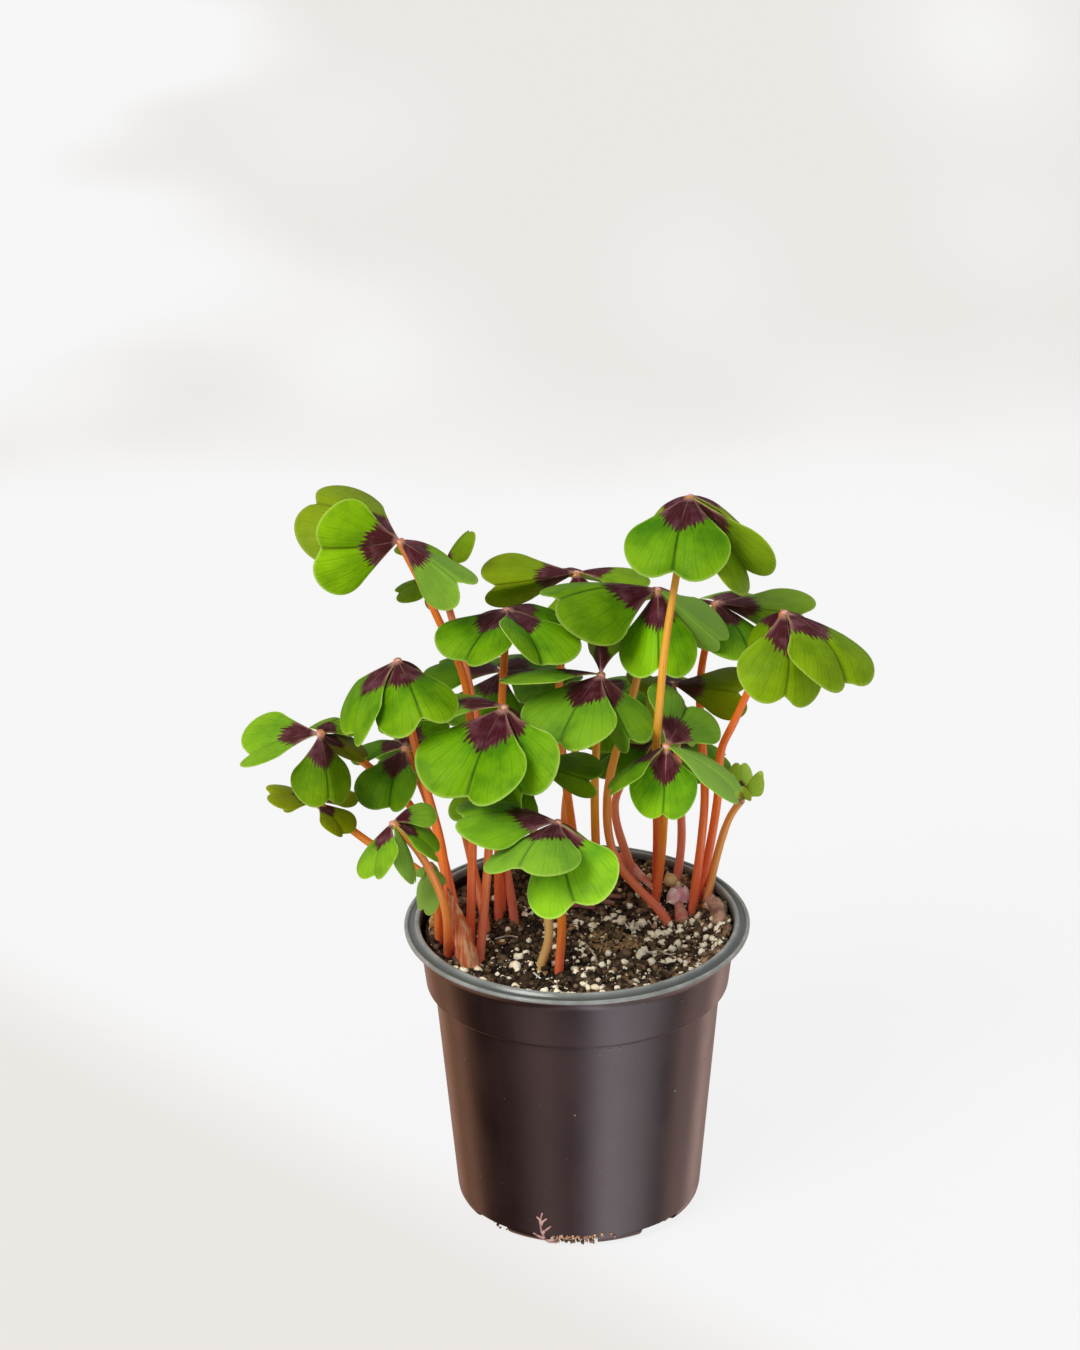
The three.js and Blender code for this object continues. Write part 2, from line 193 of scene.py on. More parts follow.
# a leaflet spreads this many degrees to each side of its midrib, and its arch, bulge, notch, waver and curl
# are shares of its length
leafForm = {
    "spread": 47,
    "arch": 0.1,
    "bulge": 0.13,
    "notch": 0.16,
    "waver": 0.012,
    "curl": 0.03,
    "crease": 0.3,
    "columns": 41,
    "rows": 18,
    "thickness": 0.42,
    "edgeShare": 0.45,
    "hubGap": 0.9,
    "hubRadius": 1.15,
    "heart": (0.58, 0.42),  # reach at the sides, and what the tip adds to it
    "fan": (0.84, 0.16),  # share of the spread near the hub, and what the end adds to it
    "tip": 0.97,
}

# the blotch is measured in shares of the leaflet's length, from the hub
leafLooks = {
    "green": colour(122, 184, 4),
    "deepGreen": colour(74, 138, 2),
    "limeEdge": colour(156, 204, 18),
    "olive": colour(164, 158, 6),
    "pale": colour(164, 206, 92),
    "blotch": colour(82, 16, 36),
    "blotchSheen": colour(140, 84, 98),
    # crease: the midrib's darker colour, partly painted shade in its groove
    "crease": colour(42, 74, 10),
    "pinkLine": colour(226, 166, 152),
    "rim": colour(184, 216, 96),
    "underside": colour(148, 188, 62),
    "undersideShade": colour(108, 150, 34),
    "undersideBlotch": colour(120, 76, 66),
    "hub": colour(232, 176, 156),
    "hubShade": colour(186, 112, 104),
    "roughness": 0.5,
    "gloss": 0.11,
    "through": 0.3,
    "veins": 5.5,
    "fineVeins": 15.0,
    "veinWaver": 0.10,
    "blotchReach": 0.47,
    "blotchTaper": 0.13,
    "blotchTeeth": 0.13,
    "blotchWander": 0.22,
    "blotchBlur": 0.018,
}


def leafFinish(name, under=False):
    f = Finish(name)
    looks = leafLooks
    across, along, _ = f.uv("blade")
    squares = f.plus(f.times(across, across), f.times(along, along))
    distance = f.calc("SQRT", squares)
    angle = f.calc("ARCTAN2", across, f.calc("MAXIMUM", along, 0.001))
    fan = f.calc("DIVIDE", angle, math.radians(leafForm["spread"]))
    off = f.calc("ABSOLUTE", fan)
    light, oliveness, paleness = f.paint("tone")
    place = f.place()

    # fine veins fan out from the hub and waver a little
    waver = f.times(f.minus(f.grain(place, 160, 2), 0.5), looks["veinWaver"])
    spread = f.plus(fan, waver)
    vein = f.step(f.calc("PINGPONG", f.times(spread, looks["veins"]), 0.5), 0.0, 0.12, 1.0, 0.0)
    drift = f.plus(f.times(spread, looks["fineVeins"]), f.times(distance, 3.0))
    fine = f.step(f.calc("PINGPONG", drift, 0.5), 0.0, 0.25, 1.0, 0.0)
    midrib = f.step(off, 0.0, 0.05, 1.0, 0.0)

    # the blotch reaches a little further along the midrib, and its edge is ragged along the veins
    ragged = f.grain(f.vector(f.times(fan, 9.0), f.times(distance, 5.0), light), 1.0, 4, 0.7)
    taper = f.times(f.calc("POWER", off, 1.2), looks["blotchTaper"])
    reach = f.minus(looks["blotchReach"], taper)
    wave = f.calc("PINGPONG", f.times(spread, 8.0), 0.5)
    teeth = f.times(f.minus(wave, 0.25), looks["blotchTeeth"])
    wander = f.times(f.minus(ragged, 0.5), looks["blotchWander"])
    edge = f.plus(f.plus(reach, teeth), wander)
    blur = looks["blotchBlur"]
    inside = f.step(f.minus(distance, edge), -blur, blur, 1.0, 0.0)
    inside = f.times(inside, f.step(paleness, 0.55, 0.7, 1.0, 0.0))

    # green part, with a paler fringe along the rim; the darker midrib is partly the leaf's own line and
    # partly painted shade in its groove
    mottle = f.grain(place, 95, 4)
    fleck = f.grain(place, 420, 3)
    outer = f.step(distance, 0.35, 1.0)
    if under:
        green = f.mix(f.step(mottle, 0.3, 0.7), looks["undersideShade"], looks["underside"])
        green = f.mix(f.times(vein, 0.35), green, looks["pale"])
    else:
        green = f.mix(f.step(mottle, 0.28, 0.66), looks["deepGreen"], looks["green"])
        green = f.mix(f.times(outer, f.step(mottle, 0.25, 0.75, 0.2, 0.7)), green, looks["limeEdge"])
        green = f.mix(f.times(fine, 0.14), green, looks["deepGreen"])
        green = f.mix(f.times(vein, f.step(distance, 0.3, 1.0, 0.3, 0.1)), green, looks["deepGreen"])
        green = f.mix(f.times(midrib, f.step(distance, 0.4, 1.0, 0.9, 0.6)), green, looks["crease"])
    fringe = f.times(f.step(f.uv("edge")[0], 0.46, 0.66, 0.75, 0.0), f.step(distance, 0.25, 0.45))
    green = f.mix(fringe, green, looks["rim"])
    green = f.mix(oliveness, green, looks["olive"])
    green = f.mix(paleness, green, looks["pale"])

    # purple part, with paler pink-grey patches that are painted sheen, paler veins, a midrib darkened partly
    # by painted shade in its groove, and pink lines near the hub
    if under:
        purple = f.mix(0.5, green, looks["undersideBlotch"])
    else:
        dust = f.step(f.grain(place, 230, 4), 0.42, 0.78, 0.0, 0.7)
        purple = f.mix(dust, looks["blotch"], looks["blotchSheen"])
        purple = f.mix(f.times(vein, 0.3), purple, looks["blotchSheen"])
        purple = f.multiply(purple, f.mix(midrib, (1, 1, 1, 1), colour(120, 90, 110)))
        nearHub = f.step(distance, 0.06, 0.46, 1.0, 0.0)
        seam = f.calc("MAXIMUM", f.step(off, 0.68, 0.96), f.step(off, 0.0, 0.06, 0.6, 0.0))
        purple = f.mix(f.times(nearHub, seam), purple, looks["pinkLine"])
        purple = f.mix(f.step(distance, 0.04, 0.12, 0.9, 0.0), purple, looks["pinkLine"])
    base = f.mix(inside, green, purple)
    # each leaf's and leaflet's light share paints it lighter or darker: painted light and shade
    base = f.multiply(base, f.grey(f.times(light, 2.0)))

    height = f.plus(f.times(vein, -0.5), f.times(fine, -0.2))
    height = f.plus(height, f.times(midrib, -1.0))
    height = f.plus(height, f.times(fleck, 0.35))
    bump = f.relief(height, 0.25 * mm, -0.7 if under else 0.7)
    rough = f.step(fleck, 0.3, 0.7, looks["roughness"] - 0.05, looks["roughness"] + 0.12)
    leaf = f.shader(base, rough, bump, Specular_IOR_Level=looks["gloss"])
    through = f.node("BsdfTranslucent", f.mix(0.5, base, looks["limeEdge"]), bump).outputs[0]
    return f.end(f.node("MixShader", looks["through"], leaf, through).outputs[0])


def rimFinish():
    f = Finish("leafRim")
    _, oliveness, _ = f.paint("tone")
    patches = f.step(f.grain(f.place(), 180), 0.3, 0.7)
    base = f.mix(patches, leafLooks["rim"], leafLooks["limeEdge"])
    base = f.mix(oliveness, base, leafLooks["olive"])
    return f.end(f.shader(base, 0.5, Specular_IOR_Level=0.3))


def hubFinish():
    f = Finish("leafHub")
    patches = f.step(f.grain(f.place(), 500), 0.35, 0.7)
    base = f.mix(patches, leafLooks["hub"], leafLooks["hubShade"])
    bump = f.relief(f.grain(f.place(), 900), 0.2 * mm)
    return f.end(f.shader(base, 0.5, bump, Specular_IOR_Level=0.35))


stalkLooks = {
    "foot": colour(255, 128, 92),
    "orange": colour(252, 136, 42),
    "amber": colour(246, 192, 58),
    "pink": colour(250, 180, 158),
    "streak": colour(210, 84, 40),
    "cream": colour(222, 190, 112),
    "tip": colour(206, 150, 96),
    "roughness": 0.3,
    "gloss": 0.55,
    "through": 0.33,
}


def stalkFinish():
    f = Finish("stalk")
    looks = stalkLooks
    around, run, _ = f.uv("run")
    height, amber, pink = f.paint("tone")
    base = f.mix(f.step(height, 0.05, 0.40), looks["foot"], looks["orange"])
    base = f.mix(f.times(amber, f.step(height, 0.1, 0.55)), base, looks["amber"])
    base = f.mix(pink, base, looks["pink"])
    base = f.mix(f.step(amber, 0.94, 0.99, 0.0, 0.85), base, looks["cream"])
    streaks = f.grain(f.vector(f.times(around, 7.0), f.times(run, 0.10)), 1.0, 4)
    base = f.mix(f.step(streaks, 0.52, 0.74, 0.0, 0.45), base, looks["streak"])
    base = f.mix(f.step(streaks, 0.48, 0.28, 0.0, 0.45), base, looks["pink"])
    base = f.mix(f.step(height, 0.94, 1.0, 0.0, 0.7), base, looks["tip"])
    bump = f.relief(streaks, 0.3 * mm, 0.5)
    stalk = f.shader(base, looks["roughness"], bump, Specular_IOR_Level=looks["gloss"])
    through = f.node("BsdfTranslucent", base).outputs[0]
    return f.end(f.node("MixShader", looks["through"], stalk, through).outputs[0])


# painted shade makes the soil nearly black behind the front left of the rim
paintedShadePatch = {
    "x": -17,
    "y": -24,
    "halfWidth": 24,
    "halfDepth": 22,
    "share": 0.85,
    "colour": colour(16, 12, 12),
}


def paintShade(f, base):
    patch = paintedShadePatch
    x, y, _ = f.parts(f.place())
    across = f.hump(x, patch["x"] * mm, patch["halfWidth"] * mm)
    share = f.times(across, f.hump(y, patch["y"] * mm, patch["halfDepth"] * mm))
    wander = f.step(f.grain(f.place(), 70, 3), 0.25, 0.6)
    share = f.times(f.times(share, wander), patch["share"])
    return f.mix(share, base, patch["colour"])


def plainFinish(name, first, second, scale, roughness, depth=0.2, gloss=0.3, withPaintedShade=False):
    # two colours in soft patches, with a finer grain; a skin in the tables below holds these values in order
    f = Finish(name)
    patches = f.grain(f.place(), scale, 4)
    base = f.mix(f.step(patches, 0.35, 0.68), first, second)
    light, _, _ = f.paint("tone")
    base = f.multiply(base, f.grey(light))
    # the soil's crumbs and grit can take the soil bed's painted shade
    if withPaintedShade:
        base = paintShade(f, base)
    bump = f.relief(f.grain(f.place(), scale * 3, 4), depth * mm)
    return f.end(f.shader(base, roughness, bump, Specular_IOR_Level=gloss))


potLooks = {
    "dark": colour(22, 12, 11),
    "light": colour(32, 20, 19),
    "streak": colour(48, 34, 33),
    "lip": colour(84, 88, 86),
    "ridgeGlint": colour(168, 172, 170),
    "crease": colour(14, 8, 8),
    "dust": colour(130, 112, 104),
    "roughness": (0.20, 0.30),
    "gloss": 0.5,
    "creaseShadeDulls": 0.4,
}


def potFinish():
    f = Finish("potPlastic")
    form, looks = potForm, potLooks
    place = f.place()
    x, y, z = f.parts(place)
    turn = f.calc("ARCTAN2", y, x)
    radius = f.calc("SQRT", f.plus(f.times(x, x), f.times(y, y)))
    cloud = f.grain(place, 28, 4)
    base = f.mix(f.step(cloud, 0.3, 0.7), looks["dark"], looks["light"])
    streak = f.grain(f.vector(f.times(turn, 14.0), f.times(z, 6.0)), 1.0, 5, 0.6)
    base = f.mix(f.step(streak, 0.5, 0.8, 0.0, 0.3), base, looks["streak"])
    # the moulded lip is lighter grey on top, and its two ridges carry painted highlights that are patchy
    # along the rim; the groove and the part under the lip stay darker
    ridge = f.plus(f.hump(radius, (form["rimRadius"] - 0.6) * mm, 0.8 * mm),
                   f.hump(radius, (form["mouthRadius"] + 1.1) * mm, 0.9 * mm))
    above = f.step(z, (form["height"] - 2.3) * mm, (form["height"] - 1.7) * mm)
    base = f.mix(f.times(above, 0.8), base, looks["lip"])
    ridgeGlint = f.step(f.grain(f.vector(f.times(turn, 5.0)), 1.0, 4), 0.3, 0.7, 0.45, 1.0)
    base = f.mix(f.times(f.times(above, ridge), ridgeGlint), base, looks["ridgeGlint"])
    # a painted shade darkens the crease under the band's step and dulls its gloss
    crease = f.hump(z, (form["bandHeight"] - 0.4) * mm, 0.9 * mm)
    base = f.mix(f.times(crease, 0.9), base, looks["crease"])
    gloss = f.minus(looks["gloss"], f.times(crease, looks["creaseShadeDulls"]))
    dust = f.step(f.grain(place, 700, 2, 0.7), 0.74, 0.79)
    base = f.mix(f.times(dust, 0.4), base, looks["dust"])
    rough = f.step(f.grain(place, 60, 5), 0.3, 0.75, *looks["roughness"])
    bump = f.relief(f.grain(place, 1300, 2), 0.03 * mm, 0.4)
    return f.end(f.shader(base, rough, bump, Specular_IOR_Level=gloss))


soilLooks = {
    "dark": colour(30, 21, 15),
    "light": colour(92, 68, 48),
    "fleck": colour(150, 120, 84),
}


def soilFinish():
    f = Finish("soilBed")
    looks = soilLooks
    place = f.place()
    base = f.mix(f.step(f.grain(place, 220, 5, 0.65), 0.35, 0.65), looks["dark"], looks["light"])
    base = f.mix(f.step(f.grain(place, 600, 3), 0.66, 0.74, 0.0, 0.7), base, looks["fleck"])
    bump = f.relief(f.grain(place, 450, 5, 0.7), 0.9 * mm)
    return f.end(f.shader(paintShade(f, base), 0.85, bump, Specular_IOR_Level=0.25))


# soft patches of light on the shaded part of the floor, as (x, y, half width, half depth, share)
floorPatches = [(-87, 710, 44, 90, 0.8), (205, 1120, 44, 130, 0.8), (118, 665, 40, 60, 0.4),
                (60, 800, 34, 90, 0.3), (-110, 1000, 50, 90, 0.3), (200, 860, 34, 80, 0.3)]
floorLooks = {"light": colour(244, 244, 244), "shade": colour(233, 229, 226), "glow": 0.935}


def floorFinish():
    # a light floor that glows softly itself, so that shadows on it stay faint, with very faint wide shades
    f = Finish("floor")
    x, y, _ = f.parts(f.place())
    drift = f.times(f.minus(f.grain(f.place(), 4, 2, 0.4), 0.5), 0.5)
    behind = f.step(f.plus(y, drift), 0.50, 0.72)
    far = f.times(behind, f.step(f.plus(x, drift), -0.23, -0.10))
    for px, py, width, depth, share in floorPatches:
        patch = f.times(f.hump(x, px * mm, width * mm), f.hump(y, py * mm, depth * mm))
        far = f.times(far, f.minus(1.0, f.times(patch, share)))
    near = f.step(f.plus(x, y), -0.10, -0.01, 1.0, 0.0)
    tone = f.mix(f.calc("MAXIMUM", far, near), floorLooks["light"], floorLooks["shade"])
    paint = f.shader(f.multiply(tone, (0.08, 0.08, 0.08, 1)), 0.9, Specular_IOR_Level=0.0)
    glow = f.node("Emission", tone, floorLooks["glow"]).outputs[0]
    return f.end(f.node("AddShader", paint, glow).outputs[0])


leafTop = leafFinish("leafTop")
leafUnder = leafFinish("leafUnder", under=True)
leafRim = rimFinish()
leafHub = hubFinish()
stalkSkin = stalkFinish()
print("materials made")


class Body:
    # collects points, faces, surface maps and paint for one piece

    def __init__(self):
        self.points, self.faces, self.slots, self.tones = [], [], [], []
        self.maps = {}
        self.count = 0

    def add(self, points, faces, slot=0, tone=(1, 1, 1), **maps):
        points = np.asarray(points, float)
        faces = [tuple(int(i) + self.count for i in face) for face in faces]
        for name in dict.fromkeys([*self.maps, *maps]):
            kept = self.maps.setdefault(name, [np.zeros((self.count, 2))] if self.count else [])
            kept.append(np.asarray(maps[name], float) if name in maps else np.zeros((len(points), 2)))
        tone = np.asarray(tone, float)
        self.tones.append(np.broadcast_to(tone, (len(points), 3)) if tone.ndim == 1 else tone)
        self.points.append(points)
        self.faces += faces
        self.slots += [slot] * len(faces) if np.isscalar(slot) else list(slot)
        self.count += len(points)

    def piece(self, name, materials, node, crease=()):
        mesh = bpy.data.meshes.new(name)
        mesh.from_pydata(np.concatenate(self.points) * mm, [], self.faces)
        mesh.update()
        for material in materials:
            mesh.materials.append(material)
        mesh.polygons.foreach_set("material_index", self.slots)
        mesh.polygons.foreach_set("use_smooth", [True] * len(mesh.polygons))
        corners = np.empty(len(mesh.loops), int)
        mesh.loops.foreach_get("vertex_index", corners)
        for mapName, values in self.maps.items():
            layer = mesh.uv_layers.new(name=mapName)
            layer.data.foreach_set("uv", np.concatenate(values)[corners].ravel())
        paint = mesh.color_attributes.new("tone", "FLOAT_COLOR", "POINT")
        tones = np.concatenate(self.tones)
        paint.data.foreach_set("color", np.hstack([tones, np.ones((len(tones), 1))]).ravel())
        if crease:
            # the line where a leaf's face meets its rim stays crisp
            edges = np.empty(len(mesh.edges) * 2, int)
            mesh.edges.foreach_get("vertices", edges)
            side = np.zeros(self.count, int)
            for mark, group in enumerate(crease, 1):
                side[np.asarray(group, int)] = mark
            ends = side[edges].reshape(-1, 2)
            sharp = (ends[:, 0] == ends[:, 1]) & (ends[:, 0] > 0)
            mesh.attributes.new("sharp_edge", "BOOLEAN", "EDGE").data.foreach_set("value", sharp)
        mesh.validate()
        thing = bpy.data.objects.new(name, mesh)
        bpy.context.scene.collection.objects.link(thing)
        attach(thing, "root")
        if node:
            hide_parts(node)
        return thing


def gridFaces(rows, columns, start=0, flip=False, loop=False):
    faces = []
    for r in range(rows - 1):
        for c in range(columns if loop else columns - 1):
            a, b = start + r * columns + c, start + r * columns + (c + 1) % columns
            quad = (a, a + columns, b + columns, b)
            faces.append(quad[::-1] if flip else quad)
    return faces


def borderOf(rows, columns):
    # the points round the edge of a grid, in order
    ring = list(range(columns))
    ring += [r * columns + columns - 1 for r in range(1, rows)]
    ring += [(rows - 1) * columns + c for c in range(columns - 2, -1, -1)]
    return ring + [r * columns for r in range(rows - 2, 0, -1)]


def thickSheet(sheet, half):
    # points, faces and border of a closed thin body round a grid of points
    rows, columns = sheet.shape[:2]
    normals = np.cross(np.gradient(sheet, axis=0), np.gradient(sheet, axis=1))
    normals /= np.linalg.norm(normals, axis=-1, keepdims=True)
    sides = [(sheet + normals * half).reshape(-1, 3), (sheet - normals * half).reshape(-1, 3)]
    count = rows * columns
    faces = gridFaces(rows, columns) + gridFaces(rows, columns, start=count, flip=True)
    border = borderOf(rows, columns)
    faces += [(a, b, b + count, a + count) for a, b in zip(border, border[1:] + border[:1])]
    return np.concatenate(sides), faces, border


def turned(outline, segments, centre=(0, 0, 0), tilt=(0, 0)):
    # points and faces of an outline of (radius, height) pairs turned about Z; ends on the axis are closed
    angles = np.linspace(0, 2 * math.pi, segments, endpoint=False)
    outline = np.asarray(outline, float)
    rings = [np.stack([r * np.cos(angles), r * np.sin(angles), np.full(segments, h)], 1)
             for r, h in outline[1:-1]]
    points = np.concatenate(rings + [[[0, 0, outline[0][1]]], [[0, 0, outline[-1][1]]]])
    faces = gridFaces(len(rings), segments, flip=True, loop=True)
    low, high = len(points) - 2, len(points) - 1
    last = (len(rings) - 1) * segments
    for i in range(segments):
        j = (i + 1) % segments
        faces.append((low, j, i))
        faces.append((high, last + i, last + j))
    turn = Matrix.Rotation(math.radians(tilt[0]), 3, "X") @ Matrix.Rotation(math.radians(tilt[1]), 3, "Y")
    return points @ np.array(turn).T + centre, faces


def tubeAlong(path, radii, sides):
    # points, faces and (around, run) of a closed tube; its section doesn't twist along the path
    path = np.asarray(path, float)
    radii = np.broadcast_to(radii, len(path))
    ways = np.gradient(path, axis=0)
    ways /= np.linalg.norm(ways, axis=1)[:, None]
    runs = np.concatenate([[0], np.cumsum(np.linalg.norm(np.diff(path, axis=0), axis=1))])
    side = np.cross(ways[0], (0, 1, 0) if abs(ways[0][1]) < 0.9 else (1, 0, 0))
    rings, maps = [], []
    angles = np.linspace(0, 2 * math.pi, sides, endpoint=False)
    for centre, way, radius, run in zip(path, ways, radii, runs):
        side = side - way * side.dot(way)
        side /= np.linalg.norm(side)
        other = np.cross(way, side)
        rings.append(centre + radius * (np.outer(np.cos(angles), side) + np.outer(np.sin(angles), other)))
        maps.append(np.stack([np.abs(angles - math.pi) / math.pi, np.full(sides, run)], 1))
    faces = gridFaces(len(rings), sides, flip=True, loop=True)
    faces.append(tuple(range(sides))[::-1])
    faces.append(tuple(range((len(rings) - 1) * sides, len(rings) * sides)))
    return np.concatenate(rings), faces, np.concatenate(maps)


def curveThrough(points, step):
    # a centripetal spline through the points, in steps of about that many millimetres
    points = [np.asarray(p, float) for p in points]
    points = [2 * points[0] - points[1]] + points + [2 * points[-1] - points[-2]]
    path = []
    for p0, p1, p2, p3 in zip(points, points[1:], points[2:], points[3:]):
        d0, d1, d2 = (math.sqrt(np.linalg.norm(b - a)) for a, b in ((p0, p1), (p1, p2), (p2, p3)))
        t1 = ((p1 - p0) / d0 - (p2 - p0) / (d0 + d1) + (p2 - p1) / d1) * d1
        t2 = ((p2 - p1) / d1 - (p3 - p1) / (d1 + d2) + (p3 - p2) / d2) * d1
        square, cube = 3 * (p2 - p1) - 2 * t1 - t2, 2 * (p1 - p2) + t1 + t2
        count = max(2, round(np.linalg.norm(p2 - p1) / step))
        for i in range(count):
            t = i / count
            path.append(p1 + t1 * t + square * t ** 2 + cube * t ** 3)
    path.append(points[-2])
    return np.array(path)


def turnedSmooth(outline, step, least, segments, centre=(0, 0, 0), tilt=(0, 0)):
    # a turned body with a smooth outline, which stays at least that far off the axis between its ends
    smooth = curveThrough([(r, h, 0) for r, h in outline], step)[:, :2]
    smooth[0][0] = smooth[-1][0] = 0
    smooth[1:-1, 0] = np.maximum(smooth[1:-1, 0], least)
    return turned(smooth, segments, centre, tilt)


stalkForm = {
    "soilTop": 90,
    "sink": 8,
    "footRadius": 1.5,
    "topRadius": 1.15,
    "collar": 0.25,
    "footSwell": 0.2,
    "wobble": 0.08,
    "sides": 14,
}

# A leaf has its hub's place, its stalk's foot on the soil, the points that the stalk bends at, and its
# leaflets as (heading, droop, length, roll about the midrib, fold of the halves), where heading 0 is +X.
leaves = {
    "q": {"hub": (-6, -42, 153), "foot": (-6, -21), "bends": [(-5, -24, 106)], "leaflets": [
        (180, 0, 33, 0, 15), (245, 10, 32, 10, 20), (285, 40, 32, 35, 20), (70, 45, 24, 0, 30)]},
    "k": {"hub": (-22, -24, 184), "foot": (-31, -16),
          "bends": [(-29, -8, 109), (-26, -4, 146)], "leaflets": [
        (240, 45, 36, 0, -10), (290, 45, 33, 75, 35), (165, 15, 32, 10, 5), (60, 45, 20, 0, 40)]},
    "p": {"hub": (28, -24, 170), "foot": (25, 20), "bends": [(27, 15, 111), (28, 0, 140)], "leaflets": [
        (230, 85, 26, -40, 40), (350, 40, 29, -10, 5), (75, -5, 26, 35, 0), (195, 40, 24, 20, 10)]},
    "o": {"hub": (-57, -37, 151), "foot": (-41, -13),
          "bends": [(-42, -33, 122), (-49, -38, 141)], "leaflets": [
        (245, 50, 20, 35, 5), (0, 45, 19, 0, 0), (50, 0, 17, -10, 45), (305, 60, 21, -50, 20)]},
    "r": {"hub": (-46, -21, 128), "foot": (-44, -6), "bends": [(-44, -14, 115)], "leaflets": [
        (250, 75, 16, 45, 15), (0, 50, 8, 0, 45), (85, 25, 7, 0, 50), (170, 30, 6, 0, 50)]},
    "l": {"arch": 0.17, "hub": (-55, -13, 195), "foot": (-37, -17),
          "bends": [(-41, -8, 116), (-43, -3, 128), (-50, -1, 158)], "leaflets": [
        (290, 25, 30, 15, 35), (210, 60, 30, 15, 5), (45, 50, 20, 0, 60), (150, 60, 20, 0, 65)]},
    "j": {"hub": (8, -12, 189), "foot": (7, 24), "bends": [(6, 11, 138)], "leaflets": [
        (235, 35, 31, 0, 0), (300, 40, 27, 40, 60), (185, 5, 33, 25, 15), (90, -45, 25, -10, 65)]},
    "h": {"arch": 0.17, "hub": (65, -6, 207), "foot": (38, 21),
          "bends": [(42, 21, 108), (45, 15, 132), (46, 8, 153), (50, 4, 165)], "leaflets": [
        (265, 55, 31, -25, 30), (312, 35, 35, -15, 10), (150, 50, 20, 0, 60), (45, 50, 24, 0, 50)]},
    "m": {"hub": (-80, -4, 166), "foot": (-40, 4),
          "bends": [(-43, 11, 114), (-54, 17, 132), (-66, 18, 144)], "leaflets": [
        (175, 25, 27, -10, -10), (285, 65, 24, -5, 40), (10, 35, 19, 75, 70), (65, 10, 17, 0, 25)]},
    "c": {"hub": (-21, -2, 207), "foot": (-25, 14), "bends": [(-24, 6, 151)], "leaflets": [
        (230, 30, 26, 0, -5), (295, 25, 29, -20, -15), (135, 35, 22, 0, 30), (50, 25, 26, 0, 25)]},
    "a": {"hub": (-54, 0, 230), "foot": (-34, -11), "bends": [(-34, -2, 180), (-43, -1, 205)], "leaflets": [
        (200, -5, 30, -90, 5), (150, -10, 35, -20, 30), (315, 15, 31, 35, 60), (45, 35, 25, 0, 30)]},
    "f": {"arch": 0.17, "hub": (36, 2, 243), "foot": (26, 36),
          "bends": [(26, 21, 119), (25, -17, 167), (26, -21, 184), (28, -16, 202)], "leaflets": [
        (255, 40, 32, 0, 10), (355, 55, 34, 70, -60), (140, 50, 25, 0, 40), (50, 50, 28, 0, 20)]},
    "n": {"hub": (-54, 18, 150), "foot": (-37, 0), "bends": [(-46, 9, 132)], "leaflets": [
        (250, 50, 23, 15, -15), (0, 15, 24, 0, 20), (130, 20, 22, 0, 25), (80, -10, 24, 0, 25)]},
    "s": {"hub": (-82, 6, 137), "foot": (-43, 2), "bends": [(-47, 4, 110), (-66, 4, 124)], "leaflets": [
        (185, -10, 17, 0, 10), (320, 40, 15, -10, -5), (125, 25, 14, 0, 20), (45, 5, 15, 0, 25)]},
    "u": {"hub": (-15, -8, 158), "foot": (-12, -20),
          "bends": [(-9, -19, 102), (-13, -13, 129)], "leaflets": [
        (330, 5, 26, 65, 60), (230, 25, 32, 0, 25), (115, 20, 15, -10, 20), (50, 40, 22, 0, 20)]},
    "e": {"hub": (26, 10, 208), "foot": (29, 12),
          "bends": [(13, 16, 110), (10, 16, 132), (19, 8, 176)], "leaflets": [
        (200, 0, 38, -10, 30), (270, 50, 30, 0, 40), (350, 40, 29, 65, 65), (90, 35, 26, 0, 25)]},
    "g": {"hub": (45, 30, 194), "foot": (37, 16), "bends": [(41, 17, 131), (40, 32, 166)], "leaflets": [
        (340, 0, 33, 65, 65), (300, 30, 25, -10, 20), (145, 20, 20, 0, 30), (60, 20, 26, 0, 20)]},
    "b": {"hub": (-42, 24, 207), "foot": (-20, 14), "bends": [(-33, 15, 172)], "leaflets": [
        (185, 25, 16, 0, 20), (35, -45, 18, -30, 30), (270, 45, 12, 0, 40), (350, 55, 10, 0, 50)]},
    "d": {"hub": (1, 30, 205), "foot": (2, 26), "bends": [(-5, 19, 169)], "leaflets": [
        (200, 0, 32, -70, 60), (5, 10, 24, -10, 20), (105, 30, 28, 0, 25), (280, 40, 26, 0, 20)]},
    "t": {"hub": (-23, 40, 166), "foot": (-24, 19), "bends": [(-24, 29, 140)], "leaflets": [
        (330, 0, 27, 0, 20), (60, 15, 27, 0, 20), (150, 10, 27, 0, 20), (245, 25, 27, 0, 20)]},
    "i": {"hub": (31, 28, 167), "foot": (32, 31), "bends": [(34, 32, 109), (33, 26, 134)], "leaflets": [
        (330, -5, 28, 60, 55), (240, -10, 22, -50, 35), (285, 50, 22, 0, 55), (100, 25, 24, 0, 20)]},
    "x": {"hub": (-42, 46, 141), "foot": (-29, 8), "bends": [(-38, 36, 123)], "leaflets": [
        (20, 10, 26, 0, 20), (110, 25, 26, 0, 20), (200, 15, 26, 0, 20), (290, 20, 26, 0, 20)]},
    "y": {"hub": (28, 51, 138), "foot": (20, 36), "bends": [(13, 42, 119)], "leaflets": [
        (10, 30, 26, 0, 20), (100, 15, 26, 0, 20), (190, 25, 26, 0, 20), (285, 20, 26, 0, 20)]},
    "w": {"hub": (5, 47, 156), "foot": (-3, 36), "bends": [(-3, 38, 121)], "leaflets": [
        (35, 15, 28, 0, 20), (130, 20, 28, 0, 20), (215, 10, 28, 0, 20), (300, 25, 28, 0, 20)]},
    "v": {"hub": (53, 27, 126), "foot": (41, 16), "bends": [(44, 23, 103), (49, 27, 119)], "leaflets": [
        (0, -60, 12, 0, 55), (90, -50, 13, 0, 55), (180, -70, 11, 0, 55), (270, -55, 10, 0, 55)]},
}
